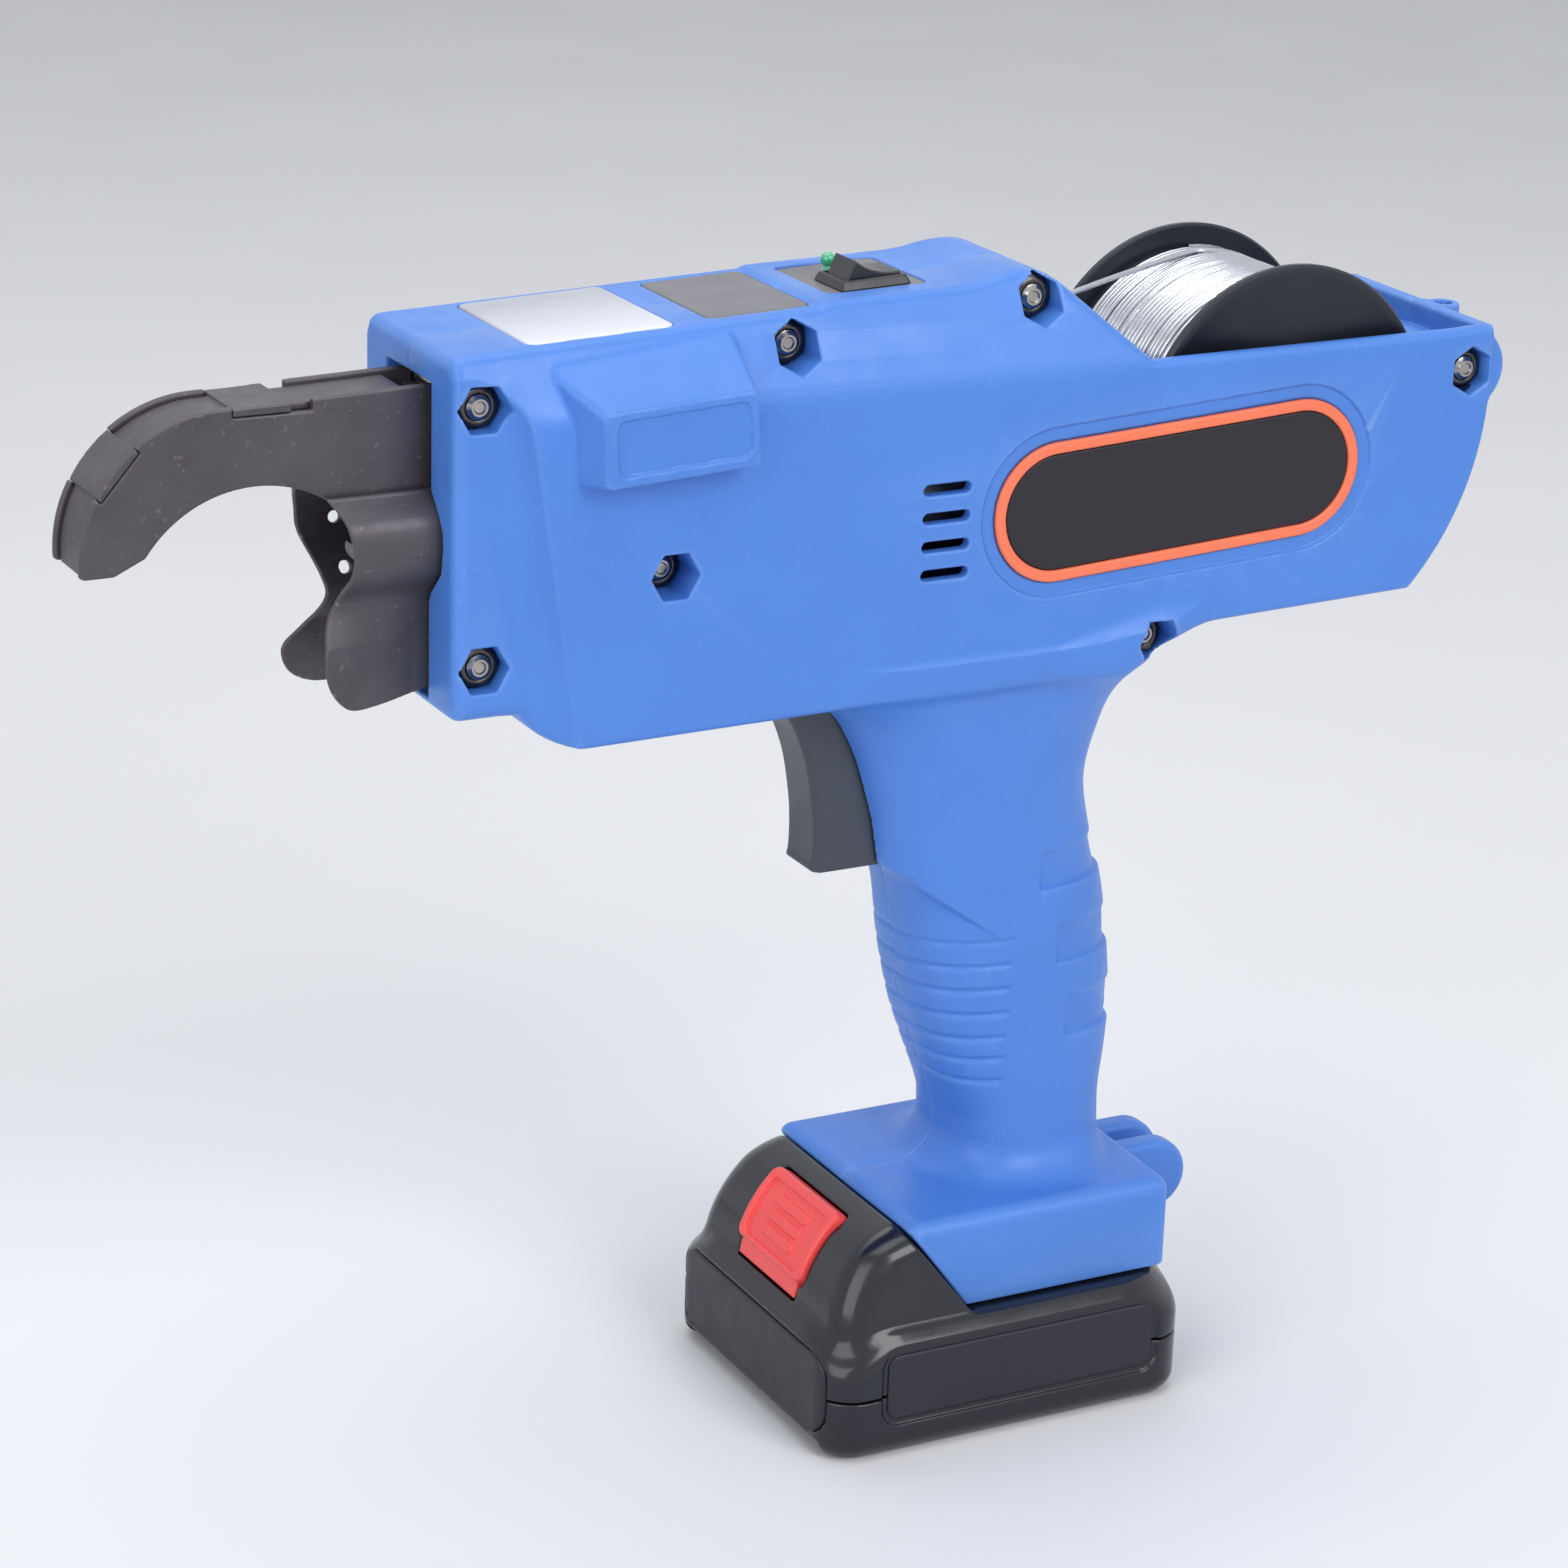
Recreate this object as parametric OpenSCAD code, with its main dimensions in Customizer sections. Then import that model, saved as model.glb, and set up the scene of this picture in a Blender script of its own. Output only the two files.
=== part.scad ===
// Cordless rebar tying tool: a wire reel at the rear, a curved guide arm at the nose,
// a pistol grip and a battery that slides off to the front.
// Nose towards -X, up +Z, origin at the middle of the battery's underside.

/* [Body] */
// Half the width of the main body
body_half_w = 26.5; // [25:0.5:30]
// Half the width of the flat top at the crest
top_half_w = 17.5; // [16:0.5:20]
// Height of the body's underside above the battery's underside
floor_z = 161.3; // [158:0.5:170]
// Height of the body from its underside to the crest
body_h = 80.7; // [80:0.5:86]
// Drop from the crest to the shoulder of the side walls
shoulder_drop = 17.5; // [15:0.5:19]
// Drop from the crest to the top of the nose
nose_drop = 5; // [3:0.5:6]
// Drop from the crest to the rim of the reel bay
rim_drop = 17; // [14:0.5:20]
// Distance of the front face ahead of the origin
nose_reach = 124; // [122:0.5:130]
// Half the width of the narrow nose
nose_half_w = 22; // [21:0.5:24]
// Length of the narrow nose
nose_len = 12; // [10:0.5:14]
// Rise of the nose underside above the body underside
nose_rise = 7.1; // [5:0.5:9]
// Rounding of the front lower corner of the main body
chin_r = 14; // [10:0.5:18]
// Place of the crest behind the origin
crest_x = 6; // [2:0.5:8]
// Wall of the housing
wall = 3; // [2.4:0.1:3.4]

/* [Reel] */
// Radius of the reel flanges
spool_r = 33.5; // [31:0.5:35]
// Half the width of the reel over its flanges
spool_half_w = 21.6; // [20:0.2:22]
// Thickness of a reel flange
flange_t = 2; // [1.5:0.1:3]
// Outer radius of the wound wire
winding_r = 29.5; // [26:0.5:30]
// Diameter of the tying wire
wire_d = 1; // [0.8:0.05:1]
// Number of loops in the outer layer
wire_loops = 23; // [16:1:23]
// Radius of the reel axle
axle_r = 5; // [4:0.25:6]
// Radius of the reel hub
hub_r = 11; // [9:0.5:14]
// Front wall of the reel bay behind the origin
bay_x = 22; // [21:0.5:25]
// Gap between the reel and the front wall of the bay
bay_front_gap = 4.5; // [3:0.5:6]
// Gap between the reel and the rear wall of the bay
bay_rear_gap = 11.1; // [9:0.5:14]
// Gap under the reel
bay_floor_gap = 2; // [1.5:0.5:4]
// Height of the reel axle above the body underside
spool_rise = 45.7; // [44:0.5:47]

/* [Grip] */
// Half the width of the grip at its middle
grip_half_w = 18.5; // [17:0.5:20]
// Half the width of the foot of the grip
foot_half_w = 34; // [33:0.5:36]
// Length of the foot behind the origin
foot_back = 38.5; // [37:0.5:41]
// Length of the foot ahead of the origin
foot_front = 24; // [22:0.5:26]
// Height of the foot of the grip
foot_h = 21; // [20:0.5:24]
// Radius of the rear strap lugs
lug_r = 8; // [7:0.5:9]
// Gap between the strap lugs
lug_gap = 5.4; // [5:0.2:7]
// Thickness of a strap lug
lug_t = 6; // [5:0.5:8]
// Radius of the strap bar
strap_pin_r = 2; // [1.5:0.25:2.5]
// Radius of the hole in the rear eye
eye_r = 2; // [1.5:0.25:2]

/* [Guide arm] */
// Half the width of the arm
arm_half_w = 8; // [7.5:0.25:8.25]
// Thickness of an arm plate
arm_plate_t = 1.8; // [1.5:0.1:2.5]
// Radius of the outer bend of the arm
arm_outer_r = 27.7; // [27:0.1:29]
// Radius of the inner bend of the arm
arm_inner_r = 26; // [25:0.5:27]
// Reach of the arm's outer bend centre ahead of the front face
arm_reach = 40; // [39:0.5:44]
// Thickness of the strip that closes the arm
strip_t = 1.6; // [1.2:0.1:2]
// Sheet thickness of the lower guides
guide_t = 1.2; // [1:0.1:1.4]
// Half the width of the lower guides at their bulge
guide_bulge_w = 15.3; // [14.5:0.1:16]
// Reach of the lower guides ahead of the front face
guide_reach = 20; // [18:0.5:22]

/* [Drive] */
// Height of the twist axis above the body underside
twist_rise = 39.2; // [38.5:0.1:40]
// Radius of the twist shaft
shaft_r = 3; // [2.5:0.1:3]
// Radius of the twist motor
motor_r = 17.5; // [16:0.5:17.5]
// Length of the twist motor
motor_len = 48; // [44:0.5:50]
// Outer radius of the gearbox
gearbox_r = 16; // [15.5:0.1:16]
// Module of the gearbox teeth
gear_module = 0.6; // [0.58:0.01:0.62]
// Width of the gearbox teeth
gear_w = 8; // [6:0.5:9]
// Radius of the twist hook
hook_r = 7; // [6:0.25:7.25]
// Radius of the wire feed roller
feed_r = 6.5; // [6:0.1:7]
// Radius of the pinch roller
pinch_r = 3.8; // [3.5:0.1:3.9]
// Module of the feed gear teeth
feed_module = 0.8; // [0.78:0.01:0.82]
// Radius of the feed motor
feed_motor_r = 8; // [7:0.25:8]

/* [Battery] */
// Half the width of the battery
battery_half_w = 37; // [36.5:0.5:40]
// Length of the battery behind the origin
battery_back = 41; // [40:0.5:44]
// Length of the battery ahead of the origin
battery_front = 45.5; // [44:0.5:48]
// Height of the battery's shoulder
battery_h = 27; // [26:0.5:30]
// Height of the split line of the battery case
split_z = 15; // [13:0.5:17]
// Wall of the battery case
battery_wall = 2.5; // [2:0.1:3]
// Corner radius of the battery
battery_corner_r = 7; // [5:0.5:9]
// Radius of a cell
cell_r = 9.1; // [8.5:0.1:9.1]
// Length of a cell
cell_len = 65; // [60:1:67]
// Width of the release button
button_w = 28; // [24:0.5:32]
// Length of the release button
button_len = 17; // [15:0.5:18]

/* [Controls] */
// Width of the trigger
trigger_w = 14; // [12:0.5:15]
// Travel of the trigger
trigger_travel = 6; // [4:0.5:6]
// Rest tilt of the power rocker
rocker_tilt = 10; // [6:1:12]
// Length of the badge
badge_len = 85; // [80:0.5:88]
// Height of the badge
badge_h = 27.5; // [24:0.5:28]
// Width of the rim round the badge
badge_rim = 1.8; // [1.4:0.1:2.4]

/* [Fasteners] */
// Radius of the housing bolts
bolt_r = 2.5; // [2:0.1:2.5]
// Width across the flats of the nuts
nut_af = 8; // [7:0.1:8.4]
// Thickness of the nuts
nut_t = 4; // [3:0.1:4.5]

/* [Clearances] */
// Gap between parts that are set side by side
gap = 0.4; // [0.3:0.05:0.5]
// Radial clearance of a running fit
run_gap = 0.06; // [0.03:0.01:0.09]
// Radial clearance round a bolt
bolt_gap = 0.2; // [0.1:0.05:0.3]

/* [Hidden] */
$fn = 48;
eps = 0.01;
over = 1;
nose_x = -nose_reach;
crest_z = floor_z + body_h;
shoulder_z = crest_z - shoulder_drop;
nose_top_z = crest_z - nose_drop;
nose_floor_z = floor_z + nose_rise;
rim_z = crest_z - rim_drop;
top_tilt = atan2(nose_drop, crest_x - nose_x);
spool_x = bay_x + bay_front_gap + spool_r;
spool_z = floor_z + spool_rise;
tail_x = spool_x + spool_r + bay_rear_gap + wall;
bay_floor_z = spool_z - spool_r - bay_floor_gap;
rear_floor_z = bay_floor_z - wall;
rim_x = bay_x + wall;
twist_z = floor_z + twist_rise;
slope = rim_drop / (rim_x - crest_x);

function top_z(x) = nose_top_z + (x - nose_x) * tan(top_tilt);
function arc(c, r, a0, a1, n) =
    [for (i = [0:n]) c + r * [cos(a0 + (a1 - a0) * i / n), sin(a0 + (a1 - a0) * i / n)]];

// Extrudes an outline given in x and z from y0 to y1
module prism_y(y0, y1) {
    translate([0, y1, 0]) rotate([90, 0, 0]) linear_extrude(y1 - y0) children();
}
// Extrudes an outline given in y and z from x0 to x1
module prism_x(x0, x1) {
    translate([x0, 0, 0]) rotate([90, 0, 90]) linear_extrude(x1 - x0) children();
}
module rod_y(x, z, r, y0, y1) {
    translate([x, y1, z]) rotate([90, 0, 0]) cylinder(r = r, h = y1 - y0);
}
module rod_x(z, r, x0, x1) {
    translate([x0, 0, z]) rotate([0, 90, 0]) cylinder(r = r, h = x1 - x0);
}
// A hexagon with its points along x, or turned by an angle
module hex_y(x, z, af, turn, y0, y1) {
    translate([x, y1, z]) rotate([90, 0, 0]) rotate(turn) cylinder(r = af / sqrt(3), h = y1 - y0, $fn = 6);
}
module block(x0, x1, y0, y1, z0, z1) {
    translate([x0, y0, z0]) cube([x1 - x0, y1 - y0, z1 - z0]);
}
module round_rect(w, h, r) {
    square([w - 2 * r, h], center = true);
    square([w, h - 2 * r], center = true);
    for (sx = [-1, 1], sy = [-1, 1]) translate([sx * (w / 2 - r), sy * (h / 2 - r)]) circle(r);
}
// Mirrors a part to the side of the seam with the sign s
module on_side(s) {
    mirror([0, s < 0 ? 1 : 0, 0]) children();
}
// Puts a part on the sloping flat top
module on_top(x, y) {
    translate([x, y, top_z(x)]) rotate([0, -top_tilt, 0]) children();
}

// Body shell
tail_bend_r = 60;
tail_bend_z = rim_z - 13;
tail_bend_end = 44;
chin_x = nose_x + nose_len + chin_r * cos(30);
function tail_arc(inset) =
    arc([tail_x - tail_bend_r, tail_bend_z], tail_bend_r - inset, 0, -tail_bend_end, 10);
function body_outline() = concat(
    [[nose_x, nose_floor_z], [nose_x, nose_top_z], [crest_x, crest_z], [rim_x, rim_z], [tail_x, rim_z]],
    tail_arc(0),
    [[bay_x + 3 * wall, rear_floor_z], [bay_x, floor_z]],
    arc([chin_x, floor_z + chin_r], chin_r, 270, 210, 6),
    [[nose_x + nose_len, nose_floor_z]]
);
facet_run = (body_half_w - top_half_w) / shoulder_drop;
facet_wall = wall * sqrt(1 + facet_run * facet_run);
function body_section() = [
    [-body_half_w, floor_z - over], [-body_half_w, shoulder_z], [-top_half_w, crest_z],
    [top_half_w, crest_z], [body_half_w, shoulder_z], [body_half_w, floor_z - over]
];
inner_top_z = crest_z - wall;
inner_top_w = top_half_w + wall * facet_run - facet_wall;
inner_shoulder_z = shoulder_z - (facet_wall - wall) / facet_run;
function cavity_section() = [
    [-body_half_w + wall, floor_z], [-body_half_w + wall, inner_shoulder_z], [-inner_top_w, inner_top_z],
    [inner_top_w, inner_top_z], [body_half_w - wall, inner_shoulder_z], [body_half_w - wall, floor_z]
];
slope_wall = wall * sqrt(1 + slope * slope);
slope_recess = 4;
mech_back_x = bay_x - wall;
bevel_w = body_half_w - nose_half_w;
bevel_lean = 8.9;

module body_solid() {
    difference() {
        intersection() {
            prism_y(-body_half_w, body_half_w) polygon(body_outline());
            prism_x(nose_x - over, tail_x + over) polygon(body_section());
        }
        nose_side_cuts(0);
    }
}
// Narrows the nose on both sides with a leaning bevel, or its cavity by the same bevel set in
module nose_side_cuts(inset) {
    cut_h = body_h + 2 * chin_r;
    shift = inset * (sqrt(2) - 1);
    for (s = [-1, 1]) on_side(s)
        translate([nose_x + nose_len, 0, shoulder_z]) rotate([0, -bevel_lean, 0])
            translate([0, 0, -cut_h + chin_r]) linear_extrude(cut_h)
                polygon([
                    [-3 * nose_len, nose_half_w - inset], [shift, nose_half_w - inset],
                    [shift + bevel_w + inset + over, body_half_w + over], [-3 * nose_len, body_half_w + over]
                ]);
}
// Room for the mechanism
module mech_cavity() {
    back_z = crest_z - slope * (mech_back_x - crest_x) - slope_wall - slope_recess;
    front_z = crest_z - slope_wall - slope_recess;
    difference() {
        intersection() {
            prism_y(-body_half_w, body_half_w) polygon([
                [nose_x + wall, nose_floor_z + wall], [nose_x + wall, top_z(nose_x + wall) - wall],
                [crest_x - slope_recess, crest_z - wall], [crest_x, front_z], [mech_back_x, back_z],
                [mech_back_x, floor_z + wall], [chin_x, floor_z + wall],
                [nose_x + nose_len, nose_floor_z + wall]
            ]);
            prism_x(nose_x, tail_x) polygon(cavity_section());
        }
        nose_side_cuts(wall);
    }
}
// Open bay for the reel, and the sunk slope ahead of it
module reel_bay() {
    inner_w = body_half_w - wall;
    prism_y(-inner_w, inner_w) polygon(concat(
        [[bay_x, crest_z], [tail_x - wall, crest_z]],
        tail_arc(wall),
        [[spool_x, bay_floor_z], [bay_x, bay_floor_z]]
    ));
    prism_y(-top_half_w + wall, top_half_w - wall) polygon([
        [crest_x + over, crest_z], [crest_x + over, crest_z - slope_recess - slope * over],
        [bay_x + eps, crest_z - slope_recess - slope * (bay_x - crest_x)], [bay_x + eps, crest_z]
    ]);
}

// Grip and foot, lofted through stations of height, front, rear, half width and squareness
foot_z = battery_h + gap;
foot_top_z = foot_z + foot_h;
foot_lip = 0.6;
function grip_stations(inset) = [for (s = [
    [floor_z + 4, -48, 36, body_half_w - 0.7, 5],
    [floor_z - 0.7, -44.5, 34.3, body_half_w - 2.2, 4],
    [floor_z - 7, -36, 31.5, grip_half_w + 4, 3.2],
    [floor_z - 14, -30, 28.8, grip_half_w + 2.5, 2.9],
    [floor_z - 27, -25, 27, grip_half_w + 1, 2.7],
    [floor_z - 41, -20, 29.6, grip_half_w + 0.3, 2.6],
    [floor_z - 51, -17, 32.7, grip_half_w, 2.6],
    [floor_z - 64, -15.3, 34.8, grip_half_w - 0.3, 2.6],
    [floor_z - 78, -12, 35.8, grip_half_w - 1, 2.7],
    [floor_z - 89, -7.5, 35.7, grip_half_w - 1.5, 2.8],
    [foot_top_z + 15, -3.2, foot_back - 3, grip_half_w - 1.5, 3],
    [foot_top_z + 9, -1, foot_back - 3, grip_half_w - 0.5, 3],
    [foot_top_z + 4.5, -5, foot_back - 2.5, grip_half_w + 2, 3.2],
    [foot_top_z + 1.5, -11, foot_back - 2, grip_half_w + 5.5, 3.6],
    [foot_top_z, -foot_front, foot_back - 1.5, foot_half_w - 5.5, 5],
    [foot_top_z - 2.5, -foot_front - foot_lip, foot_back - 0.6, foot_half_w - 4, 6],
    [foot_z + 8, -foot_front - foot_lip, foot_back, foot_half_w - 1.2, 7],
    [foot_z, -foot_front - foot_lip, foot_back, foot_half_w, 7]
]) [s[0], s[1] + inset, s[2] - inset, s[3] - inset, s[4]]];
grip_n = 12;
function power(v, n) = sign(v) * pow(abs(v), 2 / n);
// Half of one station's outline, from front to rear, with its ends on the plane y = low
function half_ring(s, low) = concat(
    [[s[1], low, s[0]]],
    [for (i = [1:grip_n - 1]) let (a = 180 * i / grip_n, mid = (s[1] + s[2]) / 2, half = (s[2] - s[1]) / 2)
        [mid - half * power(cos(a), s[4]), s[3] * power(sin(a), s[4]), s[0]]],
    [[s[2], low, s[0]]]
);
module half_loft(stations, low) {
    n = grip_n + 1;
    m = len(stations);
    points = [for (s = stations) each half_ring(s, low)];
    faces = [for (j = [0:m - 2], i = [0:n - 1]) let (a = j * n + i, b = j * n + (i + 1) % n) each [
        [b, a, b + n], [a, a + n, b + n]
    ]];
    top_cap = [[for (i = [0:n - 1]) i]];
    bottom_cap = [[for (i = [n - 1:-1:0]) (m - 1) * n + i]];
    polyhedron(points, concat(faces, top_cap, bottom_cap), convexity = 6);
}
foot_cut_run = 14;
// Slanted opening at the front of the foot, set back by a clearance
function foot_cut(back) = [
    [-foot_front - 20, foot_top_z - wall + back], [-foot_front + back, foot_top_z - wall + back],
    [-foot_front + foot_cut_run + back, foot_z - over], [-foot_front - 20, foot_z - over]
];
rail_half_w = 22;
rail_grip = 4;
rail_lip_t = 3.2;
rail_z1 = foot_z + rail_lip_t + 4.6;
rail_back_x = foot_back - wall - gap;
rail_front_x = -foot_front + foot_cut_run + over;

// Bolt places: x, z, the distances of the nut's seat and the boss's end from the seam, and the nut's turn
function bolts() = [
    [nose_x + 6, nose_top_z - 9.7, 15, arm_half_w + run_gap, 0],
    [nose_x + 6.4, nose_floor_z + 8.4, 15, guide_base_w + run_gap, 0],
    [nose_x + 71.1, crest_z - 8.6, 13, 0, 30],
    [nose_x + 44, twist_z - 8.3, 15, 0, 0],
    [crest_x - 4.1, crest_z - 4.3, 12, 0, 30],
    [tail_x - 5.4, rim_z - 9, 19.5, 0, 30],
    [bay_x + 2 * wall + 1, rear_floor_z - 2, 17, 0, 0]
];
tail_boss = 5;
boss_r = bolt_r + 1.9;
boss_step = 10;
pocket_af = nut_af + 1.5;
pocket_boss_r = pocket_af / sqrt(3) + 1.3;
tail_boss_r = pocket_boss_r + 2.1;
module bosses() {
    intersection() {
        for (b = bolts()) {
            rod_y(b[0], b[1], boss_r, b[3], b[2]);
            rod_y(b[0], b[1], pocket_boss_r, max(boss_step, b[2] - wall), body_half_w);
        }
        union() {
            block(nose_x + eps, nose_x + nose_len, 0, nose_half_w - eps, nose_floor_z, crest_z);
            block(nose_x + nose_len, tail_x, 0, body_half_w, floor_z, crest_z);
        }
        boss_limits();
    }
    b = bolts()[tail_boss];
    rod_y(b[0], b[1], tail_boss_r, body_half_w - wall, body_half_w - 1);
}
module boss_limits() {
    prism_x(nose_x - over, tail_x + over) polygon(body_section());
}
module bolt_holes(far) {
    for (b = bolts()) {
        rod_y(b[0], b[1], bolt_r + bolt_gap, -over, body_half_w + over);
        if (far) rod_y(b[0], b[1], head_r + bolt_gap, b[2], body_half_w + over);
        else hex_y(b[0], b[1], pocket_af, b[4], b[2], body_half_w + over);
    }
}
head_r = nut_af / 2 + 0.4;
head_t = 3.5;

// Seats inside each half
motor_front_x = -36;
motor_back_x = motor_front_x + motor_len;
gearbox_front_x = -54;
rib_t = 2.5;
rib_top_z = twist_z + motor_r + 1.5;
board_t = 1.6;
board_x0 = 2;
board_x1 = 24;
board_z0 = floor_z - 88;
board_z1 = floor_z - 50;
module seats() {
    deep = body_half_w - over;
    for (x = [motor_front_x + 6, motor_back_x - 8]) difference() {
        block(x, x + rib_t, 0, deep, floor_z + over, rib_top_z);
        rod_x(twist_z, motor_r + run_gap, x - over, x + rib_t + over);
    }
    difference() {
        block(gearbox_front_x + 7, gearbox_front_x + 7 + rib_t, 0, deep, floor_z + over, twist_z + gearbox_r);
        rod_x(twist_z, gearbox_r + run_gap, gearbox_front_x, 0);
    }
    for (x = [bracket_x0, bracket_x1 - rib_t])
        block(x, x + rib_t, bracket_half_w + run_gap, deep, bracket_z0, bracket_z0 + 14);
    rod_y(spool_x, spool_z, axle_r + wall, spool_half_w + gap, deep);
    for (z = [board_z0 + 4, board_z1 - 7])
        block(board_x0 + 4, board_x1 - 4, board_t / 2 + run_gap, grip_half_w - wall + over, z, z + rib_t);
    rib_z0 = switch_z0 + 4;
    block(switch_x0, switch_x1, switch_half_w + run_gap, grip_half_w - over, rib_z0, rib_z0 + rib_t);
}

// Openings cut through each half
nose_open_w = guide_bulge_w + 0.8;
eye_x = tail_x + eye_r + gap;
eye_y = 4;
eye_h = 9;
eye_out_r = eye_r + 1.5;
vent_n = 4;
vent_pitch = 5.75;
vent_len = 10.6;
vent_h = 2.2;
vent_x = -26.6;
vent_z = floor_z + 25;
module nose_opening() {
    prism_x(nose_x - over, nose_x + wall + over) polygon([
        [-over, nose_floor_z + wall], [guide_base_w + over, nose_floor_z + wall],
        [guide_base_w + over, twist_z - 13], [nose_open_w, twist_z - 5], [nose_open_w, twist_z + 5],
        [guide_neck_w + over, arm_root_z + 1.2], [guide_neck_w + over, arm_top_z + over],
        [-over, arm_top_z + over]
    ]);
}
module top_recesses() {
    on_top(window_x, 0) plate_room(window_len, window_w, window_t);
    on_top(label_x, 0) plate_room(label_len, label_w, label_t);
    on_top(switch_plate_x, switch_plate_y) plate_room(switch_plate_len, switch_plate_w, label_t);
    on_top(window_x, 0) through_room(window_len - 6, window_w - 6);
    switch_room();
    on_top(led_x, led_y) translate([0, 0, -2 * wall]) cylinder(r = led_r + run_gap, h = 3 * wall);
}
// Hole for the switch's body
module switch_room() {
    room = 2 * (gap - bezel_lip);
    on_top(rocker_x, rocker_y) through_room(bezel_len + room, bezel_w + room);
}
module plate_room(l, w, t) {
    translate([0, 0, -t]) linear_extrude(t + 3 * wall)
        round_rect(l + 2 * run_gap, w + 2 * run_gap, plate_corner + run_gap);
}
module through_room(l, w) {
    translate([0, 0, -2 * wall]) linear_extrude(4 * wall) square([l, w], center = true);
}
module trigger_slot() {
    block(-90, -10, -over, trigger_w / 2 + gap, trigger_z0 - gap, floor_z + eps);
}
// One half, on the +Y side of the seam; far selects bolt heads instead of nuts
module housing_half(far) {
    side = far ? 1 : -1;
    difference() {
        union() {
            difference() {
                intersection() {
                    union() {
                        body_solid();
                        half_loft(grip_stations(0), -over);
                    }
                    block(nose_x - over, tail_x + over, 0, foot_half_w + over, 0, crest_z + over);
                }
                mech_cavity();
                reel_bay();
                half_loft(inner_stations(), -2 * over);
                prism_y(-over, foot_half_w + over) polygon(foot_cut(0));
            }
            bosses();
            seats();
            foot_rail();
            strap_lug();
            if (!far) {
                rear_eye();
                pod();
            }
        }
        rod_y(spool_x, spool_z, axle_r + run_gap, -over, axle_half_len);
        translate([lug_x, strap_pin_half + run_gap, lug_z]) rotate([90, 0, 0])
            cylinder(r = strap_pin_r + run_gap, h = strap_pin_half + 2 * over);
        rod_through_slope();
        bolt_holes(far);
        nose_opening();
        on_side(side) top_recesses();
        trigger_slot();
        badge_room();
        vents();
        if (!far) pod_room();
        feed_room();
    }
}
function inner_stations() = [for (s = grip_stations(wall))
    s[0] > floor_z ? [floor_z + wall + over, s[1], min(s[2], mech_back_x), s[3], s[4]]
        : s[0] == foot_z ? [foot_z - over, s[1], s[2], s[3], s[4]]
        : s[0] == foot_top_z ? [foot_top_z - wall, s[1], s[2], s[3], s[4]]
        : s[0] == foot_top_z - 2.5 ? [foot_top_z - wall - 2.5, s[1], s[2], s[3], s[4]] : s];
module foot_rail() {
    lip_y0 = rail_half_w + gap;
    lip_x1 = rail_back_x + gap + over;
    block(rail_front_x, lip_x1, lip_y0, foot_half_w - wall / 2, foot_z, foot_z + rail_lip_t);
}
lug_x = foot_back + lug_r + 2;
lug_z = foot_z + 9.5;
strap_pin_half = lug_gap / 2 + 3;
module strap_lug() {
    prism_y(lug_gap / 2, lug_gap / 2 + lug_t) {
        translate([lug_x, lug_z]) circle(lug_r);
        translate([foot_back - wall, lug_z - lug_r]) square([lug_x - foot_back + wall, 2 * lug_r]);
    }
}
module rear_eye() {
    difference() {
        union() {
            translate([eye_x, eye_y, rim_z - eye_h]) cylinder(r = eye_out_r, h = eye_h);
            block(tail_x - wall, eye_x, eye_y - eye_out_r, eye_y + eye_out_r, rim_z - eye_h, rim_z - over);
        }
        translate([eye_x, eye_y, rim_z - eye_h - over]) cylinder(r = eye_r, h = eye_h + 2 * over);
    }
}
// Raised cover over the feed gear on the left side
pod_x = -83.6;
pod_z = floor_z + 59.7;
pod_len = 32;
pod_h = 15;
pod_out = 6.5;
pod_base = 5;
module pod() {
    y0 = body_half_w - wall;
    y1 = body_half_w + pod_out;
    half = pod_h / 2;
    intersection() {
        prism_x(pod_x - pod_len, pod_x + pod_len) translate([0, pod_z]) polygon([
            [y0, -half - pod_base / 2], [y0, half + pod_base], [body_half_w, half + pod_base], [y1, half],
            [y1, -half], [body_half_w, -half - pod_base / 2]
        ]);
        linear_extrude(crest_z) translate([pod_x, 0]) polygon([
            [-pod_len / 2 - pod_base, y0], [-pod_len / 2 - pod_base, body_half_w], [-pod_len / 2, y1],
            [pod_len / 2, y1], [pod_len / 2 + pod_base, body_half_w], [pod_len / 2 + pod_base, y0]
        ]);
    }
}
module pod_room() {
    prism_y(body_half_w - wall - over, body_half_w + pod_out - wall) translate([pod_x, pod_z])
        round_rect(pod_len - 4, pod_h - 4, 2);
}
module feed_room() {
    rod_y(feed_x, feed_z, feed_gear_r + 2 * feed_module, feed_gear_y - gap, feed_gear_y + feed_gear_w + gap);
}
module vents() {
    for (i = [0:vent_n - 1]) translate([vent_x + vent_len / 2, 0, vent_z + i * vent_pitch])
        prism_y(body_half_w - wall - over, body_half_w + over) round_rect(vent_len, vent_h, vent_h / 2 - eps);
}
badge_x = 32.5;
badge_z = floor_z + 36.5;
badge_tilt = 3.3;
badge_t = 1.2;
module badge_shape(inset) {
    rotate(badge_tilt) round_rect(badge_len - 2 * inset, badge_h - 2 * inset, badge_h / 2 - inset - eps);
}
module badge_room() {
    prism_y(body_half_w - badge_t, body_half_w + over) translate([badge_x, badge_z]) badge_shape(-run_gap);
}
module badge() {
    prism_y(body_half_w - badge_t, body_half_w) translate([badge_x, badge_z]) badge_shape(badge_rim);
}
module badge_border() {
    prism_y(body_half_w - badge_t, body_half_w) translate([badge_x, badge_z]) difference() {
        badge_shape(0);
        badge_shape(badge_rim - run_gap);
    }
}
module right_housing() { color("#5886de") housing_half(true); }
module left_housing() { color("#5886de") mirror([0, 1, 0]) housing_half(false); }
module right_badge() { color("#3e3c44") badge(); }
module left_badge() { color("#3e3c44") mirror([0, 1, 0]) badge(); }
module right_badge_border() { color("#ff8a64") badge_border(); }
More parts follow.
